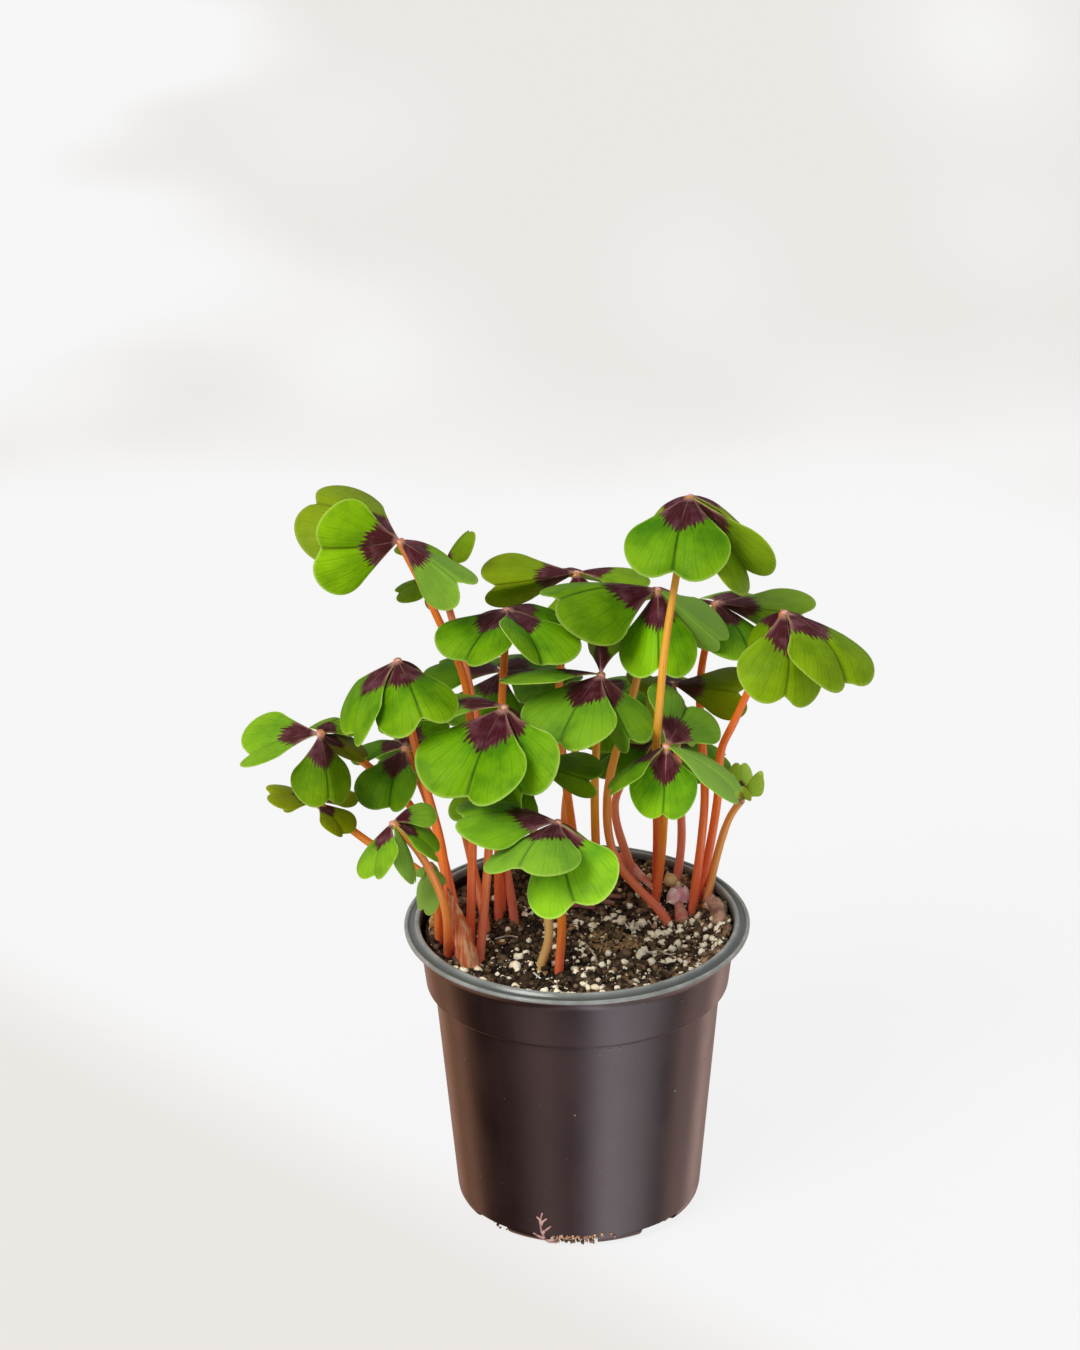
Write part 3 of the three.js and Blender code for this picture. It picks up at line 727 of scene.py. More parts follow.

# each leaf's light share, which paints it lighter or darker as painted light and shade, and its olive and
# pale shares
leafPaintedLightAndTones = {
    "q": (0.64, 0.0, 0.1), "k": (0.46, 0.0, 0.0), "p": (0.82, 0.0, 0.05), "o": (0.52, 0.1, 0.1),
    "r": (0.46, 0.3, 0.8), "l": (0.46, 0.05, 0.0), "j": (0.45, 0.0, 0.15), "h": (0.50, 0.3, 0.0),
    "m": (0.40, 0.15, 0.0), "c": (0.41, 0.0, 0.0), "a": (0.64, 0.16, 0.0), "f": (0.41, 0.0, 0.0),
    "n": (0.29, 0.0, 0.0), "s": (0.56, 0.7, 0.0), "u": (0.38, 0.15, 0.0), "e": (0.65, 0.0, 0.0),
    "g": (0.50, 0.0, 0.1), "b": (0.36, 0.3, 0.0), "d": (0.46, 0.25, 0.1), "t": (0.24, 0.0, 0.0),
    "i": (0.38, 0.6, 0.0), "x": (0.36, 0.0, 0.0), "y": (0.36, 0.0, 0.0), "w": (0.36, 0.0, 0.0),
    "v": (0.84, 0.95, 0.57),
}
# leaflets whose shares, painted light and shade among them, differ from the rest of their leaf
leafletPaintedLightAndTones = {
    "a": {1: (0.44, 0.5, 0.05), 2: (0.5, 0.1, 0.35)},
    "q": {0: (0.52, 0.0, 0.12), 1: (0.50, 0.0, 0.3)},
    "k": {2: (0.46, 0.1, 0.25)},
    "p": {1: (0.52, 0.0, 0.75), 2: (0.44, 0.0, 0.3), 3: (0.36, 0.0, 0.0)},
    "o": {2: (0.56, 0.1, 0.3), 3: (0.5, 0.2, 0.7)},
    "f": {1: (0.48, 0.35, 0.1), 2: (0.44, 0.7, 0.2), 3: (0.44, 0.6, 0.2)},
    "e": {0: (0.34, 0.05, 0.0), 2: (0.52, 0.0, 0.7)},
    "j": {3: (0.40, 0.4, 0.3)},
    "g": {0: (0.44, 0.3, 0.2)},
    "d": {0: (0.46, 0.45, 0.0)},
    "i": {2: (0.5, 0.3, 0.6)},
    "m": {0: (0.5, 0.1, 0.1), 2: (0.2, 0.8, 0.0)},
}


def leafletSheet(length, fold, archShare, around, outward, phase):
    form = leafForm
    sides, middle = form["heart"]
    near, far = form["fan"]
    side = np.sin(around)
    notch = 1 - form["notch"] * np.exp(-((np.abs(side) / 0.2) ** 1.3))
    reach = outward * length * (sides + middle * np.cos(around)) * notch / form["tip"]
    turn = math.radians(form["spread"]) * side * (near + far * outward)
    along, across = reach * np.cos(turn), reach * np.sin(turn)
    arch = 4 * archShare * along * (1 - along / length)
    lobe = np.sin(math.pi * np.abs(side) ** 0.75)
    bulge = form["bulge"] * length * outward ** 2 * lobe
    curl = form["curl"] * length * outward ** 6 * lobe
    drop = np.abs(across) * math.sin(math.radians(fold))
    crease = form["crease"] * np.exp(-((across / 0.7) ** 2)) * np.minimum(1, 3 * outward)
    waver = form["waver"] * length * outward ** 3 * np.sin(4.3 * around + phase)
    height = arch + bulge - curl - drop - crease + waver
    place = np.stack([along, across * math.cos(math.radians(fold)), height], -1)
    return place, np.stack([across / length, along / length], -1)


def directionOf(heading, droop):
    heading, droop = math.radians(heading), math.radians(droop)
    level = math.cos(droop)
    return np.array([math.cos(heading) * level, math.sin(heading) * level, -math.sin(droop)])


def leafletFrame(heading, droop, roll):
    out = directionOf(heading, droop)
    turn = math.radians(heading)
    level = np.array([-math.sin(turn), math.cos(turn), 0.0])
    flat = np.cross(out, level)
    level = level * math.cos(math.radians(roll)) + flat * math.sin(math.radians(roll))
    return np.stack([out, level, np.cross(out, level)])


def addLeaflet(body, hub, heading, droop, length, roll, fold, archShare, tone, marks, phase):
    form = leafForm
    rows, columns = form["rows"], form["columns"]
    outward = np.linspace(form["hubGap"] / length, 1, rows)[:, None]
    around = np.radians(np.linspace(-90, 90, columns))[None, :]
    sheet, blade = leafletSheet(length, fold, archShare, around, outward, phase)
    # the blade thins to a share of its thickness at the tip and at both sides
    thin = form["edgeShare"]
    fromTip, fromSide = (1 - outward) * 6 + thin, (1 - np.abs(np.sin(around))) * 9 + thin
    margin = np.minimum(1, np.minimum(fromTip, fromSide))
    points, faces, border = thickSheet(sheet, form["thickness"] / 2 * margin[..., None])
    count, quads = rows * columns, (rows - 1) * (columns - 1)
    slots = [0] * quads + [1] * quads + [2] * len(border)
    marks[0] += [body.count + i for i in border]
    marks[1] += [body.count + count + i for i in border]
    blade = blade.reshape(-1, 2)
    edge = np.stack([margin.ravel(), margin.ravel()], 1)
    body.add(points @ leafletFrame(heading, droop, roll) + hub, faces, slots, tone,
             blade=np.concatenate([blade, blade]), edge=np.concatenate([edge, edge]))


def makeLeaf(name, leaf, tone):
    hub = np.array(leaf["hub"], float)
    body = Body()
    marks = [[], []]
    archShare = leaf.get("arch", leafForm["arch"])
    for i, leaflet in enumerate(leaf["leaflets"]):
        own = leafletPaintedLightAndTones.get(name, {}).get(i, tone)
        addLeaflet(body, hub, *leaflet, archShare, own, marks, phase=1.7 * i + ord(name))
    size = leafForm["hubRadius"]
    bead = [(0, -1.1 * size), (0.75 * size, -1.0 * size), (size, -0.4 * size), (size, 0.0),
            (0.75 * size, 0.25 * size), (0.4 * size, 0.35 * size), (0, 0.36 * size)]
    points, faces = turned(bead, 16, hub)
    body.add(points, faces, 3, tone)
    finishes = [leafTop, leafUnder, leafRim, leafHub]
    body.piece(f"leaf_{name}_blades", finishes, f"leaf_{name}_leaflets", marks)


def stalkPath(leaf):
    form = stalkForm
    foot = [*leaf["foot"], form["soilTop"] - form["sink"]]
    start = [*leaf["foot"], form["soilTop"]]
    return curveThrough([foot, start, *leaf["bends"], leaf["hub"]], 1.8)


def makeStalk(name, leaf, skin):
    form = stalkForm
    path = stalkPath(leaf)
    run = np.linspace(0, 1, len(path))
    radii = form["footRadius"] + (form["topRadius"] - form["footRadius"]) * run
    collar = form["collar"] * np.exp(-(((run - 1) / 0.04) ** 2))
    radii = radii + collar + form["footSwell"] * np.exp(-((run - 0.04) / 0.03) ** 2)
    wobble = np.array([noise.noise(Vector((r * 9, ord(name), 0))) for r in run])
    radii = radii * (1 + form["wobble"] * wobble)
    points, faces, maps = tubeAlong(path, radii, form["sides"])
    height = np.repeat(run, form["sides"])
    tone = np.stack([height, np.full(len(height), skin[0]), np.full(len(height), skin[1])], 1)
    body = Body()
    body.add(points, faces, 0, tone, run=maps)
    body.piece(f"leaf_{name}_stem", [stalkSkin], f"leaf_{name}_stalk")


# amber and pink share of each stalk
stalkSkins = {
    "q": (0.3, 0.0), "k": (0.3, 0.15), "p": (0.5, 0.0), "o": (0.4, 0.1), "r": (0.1, 0.1), "l": (0.1, 0.0),
    "j": (0.9, 0.0), "h": (0.0, 0.0), "m": (0.4, 0.0), "c": (0.2, 0.0), "a": (0.1, 0.0), "f": (0.9, 0.0),
    "n": (0.1, 0.3), "s": (0.4, 0.0), "u": (1.0, 0.6), "e": (0.9, 0.1), "g": (0.0, 0.0), "b": (0.1, 0.3),
    "d": (0.5, 0.0), "t": (0.2, 0.2), "i": (0.1, 0.6), "x": (0.1, 0.2), "y": (0.2, 0.5), "w": (0.5, 0.2),
    "v": (0.9, 0.2),
}

for name, leaf in leaves.items():
    makeLeaf(name, leaf, leafPaintedLightAndTones[name])
    makeStalk(name, leaf, stalkSkins[name])
print("leaves and stalks made")

potForm = {
    "footRadius": 32.5,
    "bodyFoot": 38.7,
    "bodyTop": 45.6,
    "corner": 6,
    "bandHeight": 77,
    "bandFoot": 48.2,
    "bandTop": 50,
    "lipUnderside": 93.5,
    "lipThickness": 1.2,
    "lipSlope": 1.1,
    "rimRadius": 55,
    "mouthRadius": 49.8,
    "height": 98,
    "wall": 1.4,
    "segments": 192,
    "drains": 8,
    "drainTurn": -93,
    "drainWidth": 15,
    "drainHeight": 3.2,
    "drainDepth": 6.5,
    "footCurve": [(0, 34.3), (0.3, 36.2), (1.1, 37.7), (2.5, 38.65), (4.4, 39.1)],  # (height, radius)
}


def rounded(outline, steps=5):
    # outline of (radius, height, corner radius): each corner is replaced by a small arc
    points = [outline[0][:2]]
    for before, here, after in zip(outline, outline[1:], outline[2:]):
        a, p, b = (np.array(q[:2], float) for q in (before, here, after))
        toA, toB = a - p, b - p
        reach = min(here[2], np.linalg.norm(toA) * 0.48, np.linalg.norm(toB) * 0.48)
        if reach < 0.01:
            points.append(tuple(p))
            continue
        start, end = p + toA / np.linalg.norm(toA) * reach, p + toB / np.linalg.norm(toB) * reach
        for i in range(steps + 1):
            t = i / steps
            points.append(tuple(start * (1 - t) ** 2 + p * 2 * t * (1 - t) + end * t ** 2))
    points.append(outline[-1][:2])
    return points


def makePot():
    form = potForm
    foot, wall, band = form["footRadius"], form["wall"], form["bandHeight"]
    lip, rim, mouth, top = form["lipUnderside"], form["rimRadius"], form["mouthRadius"], form["height"]
    edge = top - form["lipSlope"]
    outline = [
        (0, 0, 0),
        (foot - 3, 0, 0.4),
        (form["bodyFoot"], 0, form["corner"]),
        (form["bodyTop"], band - 1, 0.6),
        (form["bandFoot"], band, 0.6),
        (form["bandTop"], lip - 2, 0.8),
        (form["bandTop"] + 1.3, lip + 0.5, 0.6),
        (rim - 0.1, edge - form["lipThickness"], 0.5),
        (rim, edge, 0.5),
        (rim - 1.2, edge + 0.1, 0.4),
        (rim - 1.7, edge - 0.5, 0.4),
        (mouth + 2.4, top - 1.1, 0.5),
        (mouth + 1.7, top, 0.5),
        (mouth + 0.4, top, 0.6),
        (mouth, top - 1.2, 0.6),
        (form["bandTop"] - wall, lip - 3, 1),
        (form["bandFoot"] - wall, band, 0.8),
        (form["bodyTop"] - wall - 0.1, band - 2, 0.8),
        (form["bodyFoot"] - wall, form["corner"], 2),
        (foot - 0.5, wall, 1),
        (0, wall, 0),
    ]
    body = Body()
    points, faces = turned(rounded(outline), form["segments"])
    body.add(points, faces)
    pot = body.piece("potShell", [potFinish()], "pot")
    cutters = []
    deep, wide, high = form["drainDepth"] * mm, form["drainWidth"] * mm, 2 * form["drainHeight"] * mm
    for i in range(form["drains"]):
        turn = math.radians(form["drainTurn"] + 360 / form["drains"] * i)
        place = Matrix.Rotation(turn, 4, "Z") @ Matrix.Translation((foot * mm + deep / 2, 0, 0))
        cutters.append(place @ Matrix.Diagonal((deep, wide, high, 1)))
    cutMesh = bpy.data.meshes.new("drainCutters")
    corners = [(x / 2, y / 2, z / 2) for x in (-1, 1) for y in (-1, 1) for z in (-1, 1)]
    quads = [(0, 1, 3, 2), (4, 6, 7, 5), (0, 4, 5, 1), (2, 3, 7, 6), (0, 2, 6, 4), (1, 5, 7, 3)]
    cutMesh.from_pydata([tuple(m @ Vector(c)) for m in cutters for c in corners], [],
                        [tuple(8 * i + v for v in q) for i in range(len(cutters)) for q in quads])
    cutter = bpy.data.objects.new("drainCutters", cutMesh)
    bpy.context.scene.collection.objects.link(cutter)
    cut = pot.modifiers.new("drains", "BOOLEAN")
    cut.operation, cut.object, cut.solver = "DIFFERENCE", cutter, "EXACT"
    shown = bpy.context.evaluated_depsgraph_get()
    shape = bpy.data.meshes.new_from_object(pot.evaluated_get(shown))
    pot.modifiers.clear()
    pot.data = shape
    bpy.data.objects.remove(cutter)
    shape.set_sharp_from_angle(angle=math.radians(40))


makePot()
print("pot made")

soilForm = {
    "top": 90,
    "mound": 1.6,
    "rimRise": 3.6,
    "radius": 48.3,
    "rings": 64,
    "segments": 200,
    "grain": 0.6,
    "side": [(90, 47.7), (77.5, 46.2), (75, 43.3), (8, 36.9), (1.9, 31)],  # (height, radius), downwards
    "lumpRoughness": 0.28,
    "wallTurns": (-1.2, 1.25),
    "wallDepth": (0.1, 3.4),
}
rng = random.Random(72)
# larger grains of perlite that show among the stalks, as (x, y, radius)
perliteSpots = [(-36, -27, 1.3), (-16, -10, 1.9), (-11, -42, 1.0), (14, -41, 1.3), (24, -37, 1.2),
                (33, -31, 1.5), (40, -20, 1.7), (45, -9, 1.8), (30, -8, 1.6), (46, -1, 1.9), (18, -29, 1.1),
                (38, 2, 1.8), (-28, -38, 1.2), (3, -34, 1.0), (20, 5, 1.9), (24, 3, 1.6), (27, 12, 1.3),
                (37, 10, 1.5), (15, 9, 1.3), (34, -18, 1.5), (22, -18, 1.2), (44, 20, 1.3), (36, 22, 1.3),
                (28, 20, 1.6)]
# what lies loose on the soil: each piece has its heaps, scattered one after the other, and a skin
looseSoil = {
    "soilCrumbs": {
        "heaps": [
            {"count": 1700, "sizes": (0.45, 1.2), "tones": (0.3, 1.2), "seed": 5},
            {"count": 620, "sizes": (0.6, 1.1), "tones": (0.4, 1.6), "seed": 23, "wall": True},
        ],
        "skin": ("soilCrumb", colour(40, 28, 21), colour(150, 120, 92), 330, 0.85, 0.5, 0.2, True),
    },
    "tanGrit": {
        "heaps": [
            {"count": 1100, "sizes": (0.3, 0.8), "tones": (0.6, 1.3), "seed": 61, "lift": 0.6,
             "drifts": True},
        ],
        "skin": ("tanGrit", colour(168, 138, 106), colour(112, 86, 64), 300, 0.8, 0.4, 0.3, True),
    },
    # the perlite's tones reach past 1 and paint its grains brighter than white: painted light that keeps
    # them bright under the leaves' shade
    "perliteGrains": {
        "heaps": [
            {"count": 640, "sizes": (0.5, 1.15), "tones": (1.0, 1.2), "seed": 41, "lift": 0.6,
             "spots": perliteSpots, "drifts": True},
            {"count": 2300, "sizes": (0.16, 0.36), "tones": (0.85, 1.15), "seed": 44, "lift": 0.9,
             "drifts": True},
            {"count": 124, "sizes": (0.5, 1.0), "tones": (0.8, 1.1), "seed": 29, "lift": 0.8, "wall": True},
        ],
        "skin": ("perlite", colour(255, 248, 228), colour(248, 228, 196), 420, 0.8, 0.3),
    },
    "barkFlakes": {
        "heaps": [
            {"count": 60, "sizes": (0.5, 1.3), "tones": (0.7, 1.1), "seed": 77, "flat": 0.3, "lift": 1.5},
        ],
        "skin": ("barkFlake", colour(176, 128, 78), colour(120, 82, 52), 260, 0.6),
    },
}


def soilHeight(x, y):
    # as in the part: uneven, and a little higher along the wall
    ripple = math.sin(x / 7 + 1.3) * math.cos(y / 6 - 0.4) + 0.6 * math.sin((x - y) / 3.7)
    low, high = 0.68 * potForm["bandTop"], 0.96 * potForm["bandTop"]
    share = min(1, max(0, (math.hypot(x, y) - low) / (high - low)))
    rise = share * share * (3 - 2 * share)
    return soilForm["top"] + 0.5 * soilForm["mound"] * ripple + soilForm["rimRise"] * rise


def lumpy(seed, flat=1.0):
    # a small rough lump of unit size
    ring = [(0, -1), (0.62, -0.8), (0.95, -0.3), (0.95, 0.3), (0.62, 0.8), (0, 1)]
    points, faces = turned(ring, 7)
    out = []
    for p in points:
        spot = Vector(p) * 1.4 + Vector((seed, 3.1 * seed, 0))
        push = 1 + soilForm["lumpRoughness"] * noise.noise(spot) * 2
        out.append((p[0] * push, p[1] * push, p[2] * push * flat))
    return np.array(out), faces


def richness(x, y):
    # grains lie in loose drifts, and more of them towards the front right
    drift = noise.noise(Vector((x * 0.09, y * 0.09, 5.0)))
    return min(1, max(0.12, 0.5 + 0.011 * x - 0.004 * y + 1.1 * drift))


def scatter(body, count, sizes, tones, seed, flat=1.0, lift=0.35, spots=(), drifts=False, wall=False):
    # lumps all over the soil, or in richer and poorer drifts, or piled along the right part of the wall
    edge = soilForm["radius"]
    lumps = [lumpy(seed + i, flat) for i in range(14)]
    for i in range(count):
        radius = rng.uniform(*sizes) * (1 if rng.random() < 0.8 else 1.5)
        turn = rng.uniform(0, 2 * math.pi)
        far = (edge - 0.8 - radius) * math.sqrt(rng.random())
        pile = 0
        if wall:
            turn = rng.uniform(*soilForm["wallTurns"])
            far = edge - rng.uniform(*soilForm["wallDepth"])
            pile = max(0, 2.9 - 0.8 * (edge - far)) * rng.uniform(0.3, 1)
        x, y = far * math.cos(turn), far * math.sin(turn)
        if drifts and rng.random() > richness(x, y):
            continue
        if i < len(spots):
            x, y, radius = spots[i]
        points, faces = lumps[i % len(lumps)]
        spin = Matrix.Rotation(rng.uniform(0, 6.3), 3, "Z")
        turn = np.array(spin @ Matrix.Rotation(rng.uniform(-0.6, 0.6), 3, "X"))
        stretch = np.array([rng.uniform(0.8, 1.25), rng.uniform(0.8, 1.2), rng.uniform(0.7, 1.0)])
        light = rng.uniform(*tones)
        centre = (x, y, soilHeight(x, y) + pile + lift * radius * flat)
        body.add((points * stretch * radius) @ turn.T + centre, faces, 0, (light, light, light))


def makeSoil():
    form = soilForm
    rings, segments, side = form["rings"], form["segments"], form["side"]
    turns = np.linspace(0, 2 * math.pi, segments, endpoint=False)
    points = []
    for r in range(1, rings + 1):
        radius = form["radius"] * r / rings
        for turn in turns:
            x, y = radius * math.cos(turn), radius * math.sin(turn)
            rough = noise.fractal(Vector((x, y, 0)) * 0.45, 0.8, 2.2, 4)
            points.append((x, y, soilHeight(x, y) + form["grain"] * rough))
    for height, radius in side:
        points += [(radius * math.cos(t), radius * math.sin(t), height) for t in turns]
    faces = gridFaces(rings, segments, loop=True)
    faces += gridFaces(len(side) + 1, segments, start=(rings - 1) * segments, loop=True)
    centre, below = len(points), len(points) + 1
    points += [(0, 0, soilHeight(0, 0)), (0, 0, side[-1][0])]
    last = (rings + len(side) - 1) * segments
    for i in range(segments):
        j = (i + 1) % segments
        faces.append((centre, i, j))
        faces.append((below, last + j, last + i))
    body = Body()
    body.add(points, faces)
    body.piece("soilBed", [soilFinish()], "soil")


def makeLooseSoil(name, loose):
    body = Body()
    for heap in loose["heaps"]:
        scatter(body, **heap)
    body.piece(name, [plainFinish(*loose["skin"])], None)


makeSoil()
for name, loose in looseSoil.items():
    makeLooseSoil(name, loose)
print("soil made")

# outlines are (radius, height) pairs up from the lower end
bulbForm = {
    "place": (32.7, 24.6, 91),
    "outline": [(0, -4.5), (1.9, -3.6), (3.1, -1.6), (3.3, 0.6), (2.9, 2.9), (1.8, 4.8), (0, 5.8)],
    "segments": 40,
    "ribs": 9,
    "ribDepth": 0.05,
    "red": colour(206, 74, 66),
    "pink": colour(212, 150, 160),
    "papery": colour(240, 234, 224),
    "brown": colour(140, 84, 82),
}


def bulbFinish():
    f = Finish("bulbSkin")
    form = bulbForm
    place = f.place()
    height = f.minus(f.parts(place)[2], form["place"][2] * mm)
    base = f.mix(f.step(height, -1 * mm, 3 * mm), form["red"], form["pink"])
    base = f.mix(f.step(f.grain(place, 260, 3), 0.5, 0.6, 0.0, 0.85), base, form["papery"])
    base = f.mix(f.step(f.grain(place, 260, 4), 0.45, 0.3, 0.0, 0.6), base, form["brown"])
    bump = f.relief(f.grain(place, 700, 4), 0.3 * mm)
    return f.end(f.shader(base, 0.42, bump, Specular_IOR_Level=0.4))


def makeBulb():
    form = bulbForm
    points, faces = turnedSmooth(form["outline"], 0.5, 0.15, form["segments"])
    turn = np.arctan2(points[:, 1], points[:, 0])
    rib = 1 + form["ribDepth"] * np.abs(np.sin(turn * form["ribs"] / 2)) - form["ribDepth"]
    points[:, :2] *= rib[:, None]
    body = Body()
    body.add(points + form["place"], faces)
    body.piece("bulbScales", [bulbFinish()], "bulb")


makeBulb()

# a loose papery scale that wraps the bulb's front
scaleForm = {
    "outline": [(3.5, -1.8), (4.0, -0.2), (4.0, 1.6), (3.4, 3.7), (2.0, 5.5)],
    "from": -165,
    "to": 10,
    "columns": 34,
    "half": 0.12,
    "shake": 0.10,
    "torn": 0.8,
    "skin": ("bulbScale", colour(255, 252, 248), colour(234, 160, 176), 220, 0.45, 0.25),
}


def makeScale():
    form = scaleForm
    profile = curveThrough([(r, h, 0) for r, h in form["outline"]], 0.4)[:, :2]
    turns = np.radians(np.linspace(form["from"], form["to"], form["columns"]))
    sheet = np.empty((len(profile), len(turns), 3))
    for i, (radius, height) in enumerate(profile):
        for j, turn in enumerate(turns):
            spot = Vector((2.2 * math.cos(turn), 2.2 * math.sin(turn), height * 0.5))
            out = radius * (1 + form["shake"] * noise.noise(spot))
            torn = form["torn"] * noise.noise(Vector((turn * 3.1, 4, 0))) * i / len(profile)
            sheet[i, j] = (out * math.cos(turn), out * math.sin(turn), height + torn)
    points, faces, _ = thickSheet(sheet, form["half"])
    body = Body()
    body.add(points + bulbForm["place"], faces)
    body.piece("bulbScale", [plainFinish(*form["skin"])], None)


makeScale()
print("bulb made")


def potRadius(z):
    # how far the pot's outer face is from its axis at a height
    form = potForm
    band, lip = form["bandHeight"], form["lipUnderside"]
    above = [(band - 1, form["bodyTop"]), (band, form["bandFoot"]), (lip - 2, form["bandTop"])]
    return float(np.interp(z, *zip(*form["footCurve"], *above)))


def onPot(x, z, lift=0.0):
    radius = potRadius(z) + lift
    return (x, -math.sqrt(radius * radius - x * x), z)


# specks of dust that show on the pot's front, as (x, height)
dustPlaces = [(9.7, 74.7), (12.9, 74.7), (6.6, 73), (11.2, 71.5), (-1.4, 50.5), (30.4, 52.3), (20, 92),
              (32.4, 88)]
dustForm = {
    "shown": (0.26, 0.42),
    "scattered": 60,
    "faint": (0.08, 0.15),
    "heights": (5, 90),
    "skin": ("dust", colour(150, 138, 136), colour(110, 98, 94), 500, 0.9, 0.1),
}


def makeDust():
    form = dustForm
    specks = Body()
    points, faces = lumpy(3)
    for x, z in dustPlaces:
        specks.add(points * rng.uniform(*form["shown"]) + onPot(x, z), faces)
    for _ in range(form["scattered"]):
        turn, z = rng.uniform(0, 2 * math.pi), rng.uniform(*form["heights"])
        place = (potRadius(z) * math.cos(turn), potRadius(z) * math.sin(turn), z)
        specks.add(points * rng.uniform(*form["faint"]) + place, faces)
    specks.piece("dustSpecks", [plainFinish(*form["skin"])], None)


makeDust()

# crumbs of potting mix lie in the drains, most in the front one; they also stand in for the shade inside the
# drains, hiding the glowing floor there
drainForm = {
    "front": 80,
    "each": 11,
    "sizes": (0.25, 0.75),
    "spread": 6.4,
    "near": 33.4,
    "far": 37.4,
    "pile": 2.6,
    "stuck": 46,
    "stuckSizes": (0.2, 0.5),
    "stuckAcross": (-9, 11),
    "stuckHeights": (3.0, 4.6),
    "skin": ("drainCrumb", colour(196, 160, 128), colour(150, 104, 84), 300, 0.85, 0.4),
    "rootSkin": ("dryRoot", colour(196, 156, 148), colour(128, 92, 90), 500, 0.7, 0.3),
}
# a dry root that has grown out of the front drain and clings to the pot, as lines of (x, height)
rootLines = [((-12.0, 12.4), (-12.6, 8.4), (-12.0, 4.6), (-10.4, 1.3), (-7.6, 0.9)),
             ((-9.2, 7.7), (-11.0, 5.8), (-12.0, 4.5)), ((-15.0, 4.0), (-12.8, 2.8), (-11.2, 2.2)),
             ((-5.8, 3.6), (-8.4, 2.2), (-10.5, 1.4)), ((-13.8, 10.6), (-12.7, 9.4), (-12.5, 8.2)),
             ((-10.6, 10.4), (-12.0, 8.8), (-12.4, 7.6))]


def makeDrains():
    form = drainForm
    crumbs = Body()
    lumps = [lumpy(90 + i) for i in range(6)]
    for hole in range(potForm["drains"]):
        turn = math.radians(potForm["drainTurn"] + 360 / potForm["drains"] * hole)
        for i in range(form["each"] if hole else form["front"]):
            points, faces = lumps[i % len(lumps)]
            size = rng.uniform(*form["sizes"])
            out, along = rng.uniform(form["near"], form["far"]), rng.uniform(-form["spread"], form["spread"])
            height = 1.4 * size + rng.random() ** 2 * (form["pile"] - 1.4 * size)
            x = out * math.cos(turn) - along * math.sin(turn)
            y = out * math.sin(turn) + along * math.cos(turn)
            crumbs.add(points * size + (x, y, height), faces, 0, (rng.choice((0.3, 0.7, 1.0, 1.3)),) * 3)
    for i in range(form["stuck"]):
        points, faces = lumps[i % len(lumps)]
        place = onPot(rng.uniform(*form["stuckAcross"]), rng.uniform(*form["stuckHeights"]), 0.1)
        size = rng.uniform(*form["stuckSizes"])
        crumbs.add(points * size + place, faces, 0, (rng.choice((0.7, 1.0, 1.3)),) * 3)
    crumbs.piece("drainCrumbs", [plainFinish(*form["skin"])], None)
    root = Body()
    for line in rootLines:
        path = curveThrough([onPot(x, z, 0.15) for x, z in line], 0.6)
        points, faces, _ = tubeAlong(path, np.linspace(0.28, 0.55, len(path)), 8)
        root.add(points, faces)
    root.piece("drainRoot", [plainFinish(*form["rootSkin"])], None)


makeDrains()

# bits of stem that lie on the soil, as (points, radius, light)
stemScraps = [
    (((14.2, 41, 99.8), (19, 37, 96.6), (24.6, 32.2, 92.2)), 1.5, 1.05),
    (((34.0, 11.2, 90.2), (33.5, 14.8, 91.5), (32.9, 19.6, 92.3)), 2.3, 0.62),
    (((-40.4, -7.9, 90.6), (-40.6, -7.8, 93.6), (-41.0, -7.4, 96.8)), 1.7, 0.65),
    (((-3.5, 21.6, 91.4), (1.5, 20.3, 92.2), (6.0, 19.4, 91.5)), 1.0, 0.3),
    (((2.0, 24.8, 91.5), (7, 23.2, 92.4), (12.4, 22.4, 91.6)), 1.1, 0.34),
    (((5.5, 27.4, 91.5), (9.5, 26.2, 92.5), (14.4, 27, 91.6)), 0.9, 0.38),
    (((-7, 24, 91.4), (-4, 25.4, 92.4), (0, 25.2, 91.5)), 0.9, 0.28),
]
# thin roots on the soil, as points (x, y)
curls = [((2.2, -4.6), (4.6, -8.5), (6.1, -15.4), (4.4, -25.5), (2.5, -32.2)),
         ((-14, -24), (-11, -27), (-8, -26)), ((22, -12), (26, -10), (29, -12), (31, -11)),
         ((-26, 2), (-22, 4), (-19, 2))]
litter = {
    "threadRadius": 0.3,
    "spikes": 11,
    "spikesAt": (17.6, 6.5),
    "fibres": 110,
    "fibresAt": (13, -3),
    "fibresReach": (9, 6),
    "stemSkin": ("stemScrap", colour(248, 128, 116), colour(255, 190, 172), 240, 0.42, 0.2),
    "threadSkin": ("rootThread", colour(232, 222, 208), colour(188, 168, 150), 400, 0.6, 0.2),
    "fibreSkin": ("tanFibre", colour(186, 150, 108), colour(132, 98, 68), 400, 0.75, 0.3),
}


def onSoil(x, y, lift):
    return (x, y, soilHeight(x, y) + lift)


def away(centre, turn, reach):
    return centre[0] + reach * math.cos(turn), centre[1] + reach * math.sin(turn)


def makeStemScraps():
    stems = Body()
    for path, radius, light in stemScraps:
        path = curveThrough(path, 0.8)
        run = np.linspace(0, 1, len(path))
        radii = radius * (1 - 0.35 * run ** 2) * (1 + 0.06 * np.sin(run * 19))
        points, faces, _ = tubeAlong(path, radii, 12)
        stems.add(points, faces, 0, (light, light, light))
    stems.piece("stemScraps", [plainFinish(*litter["stemSkin"])], None)


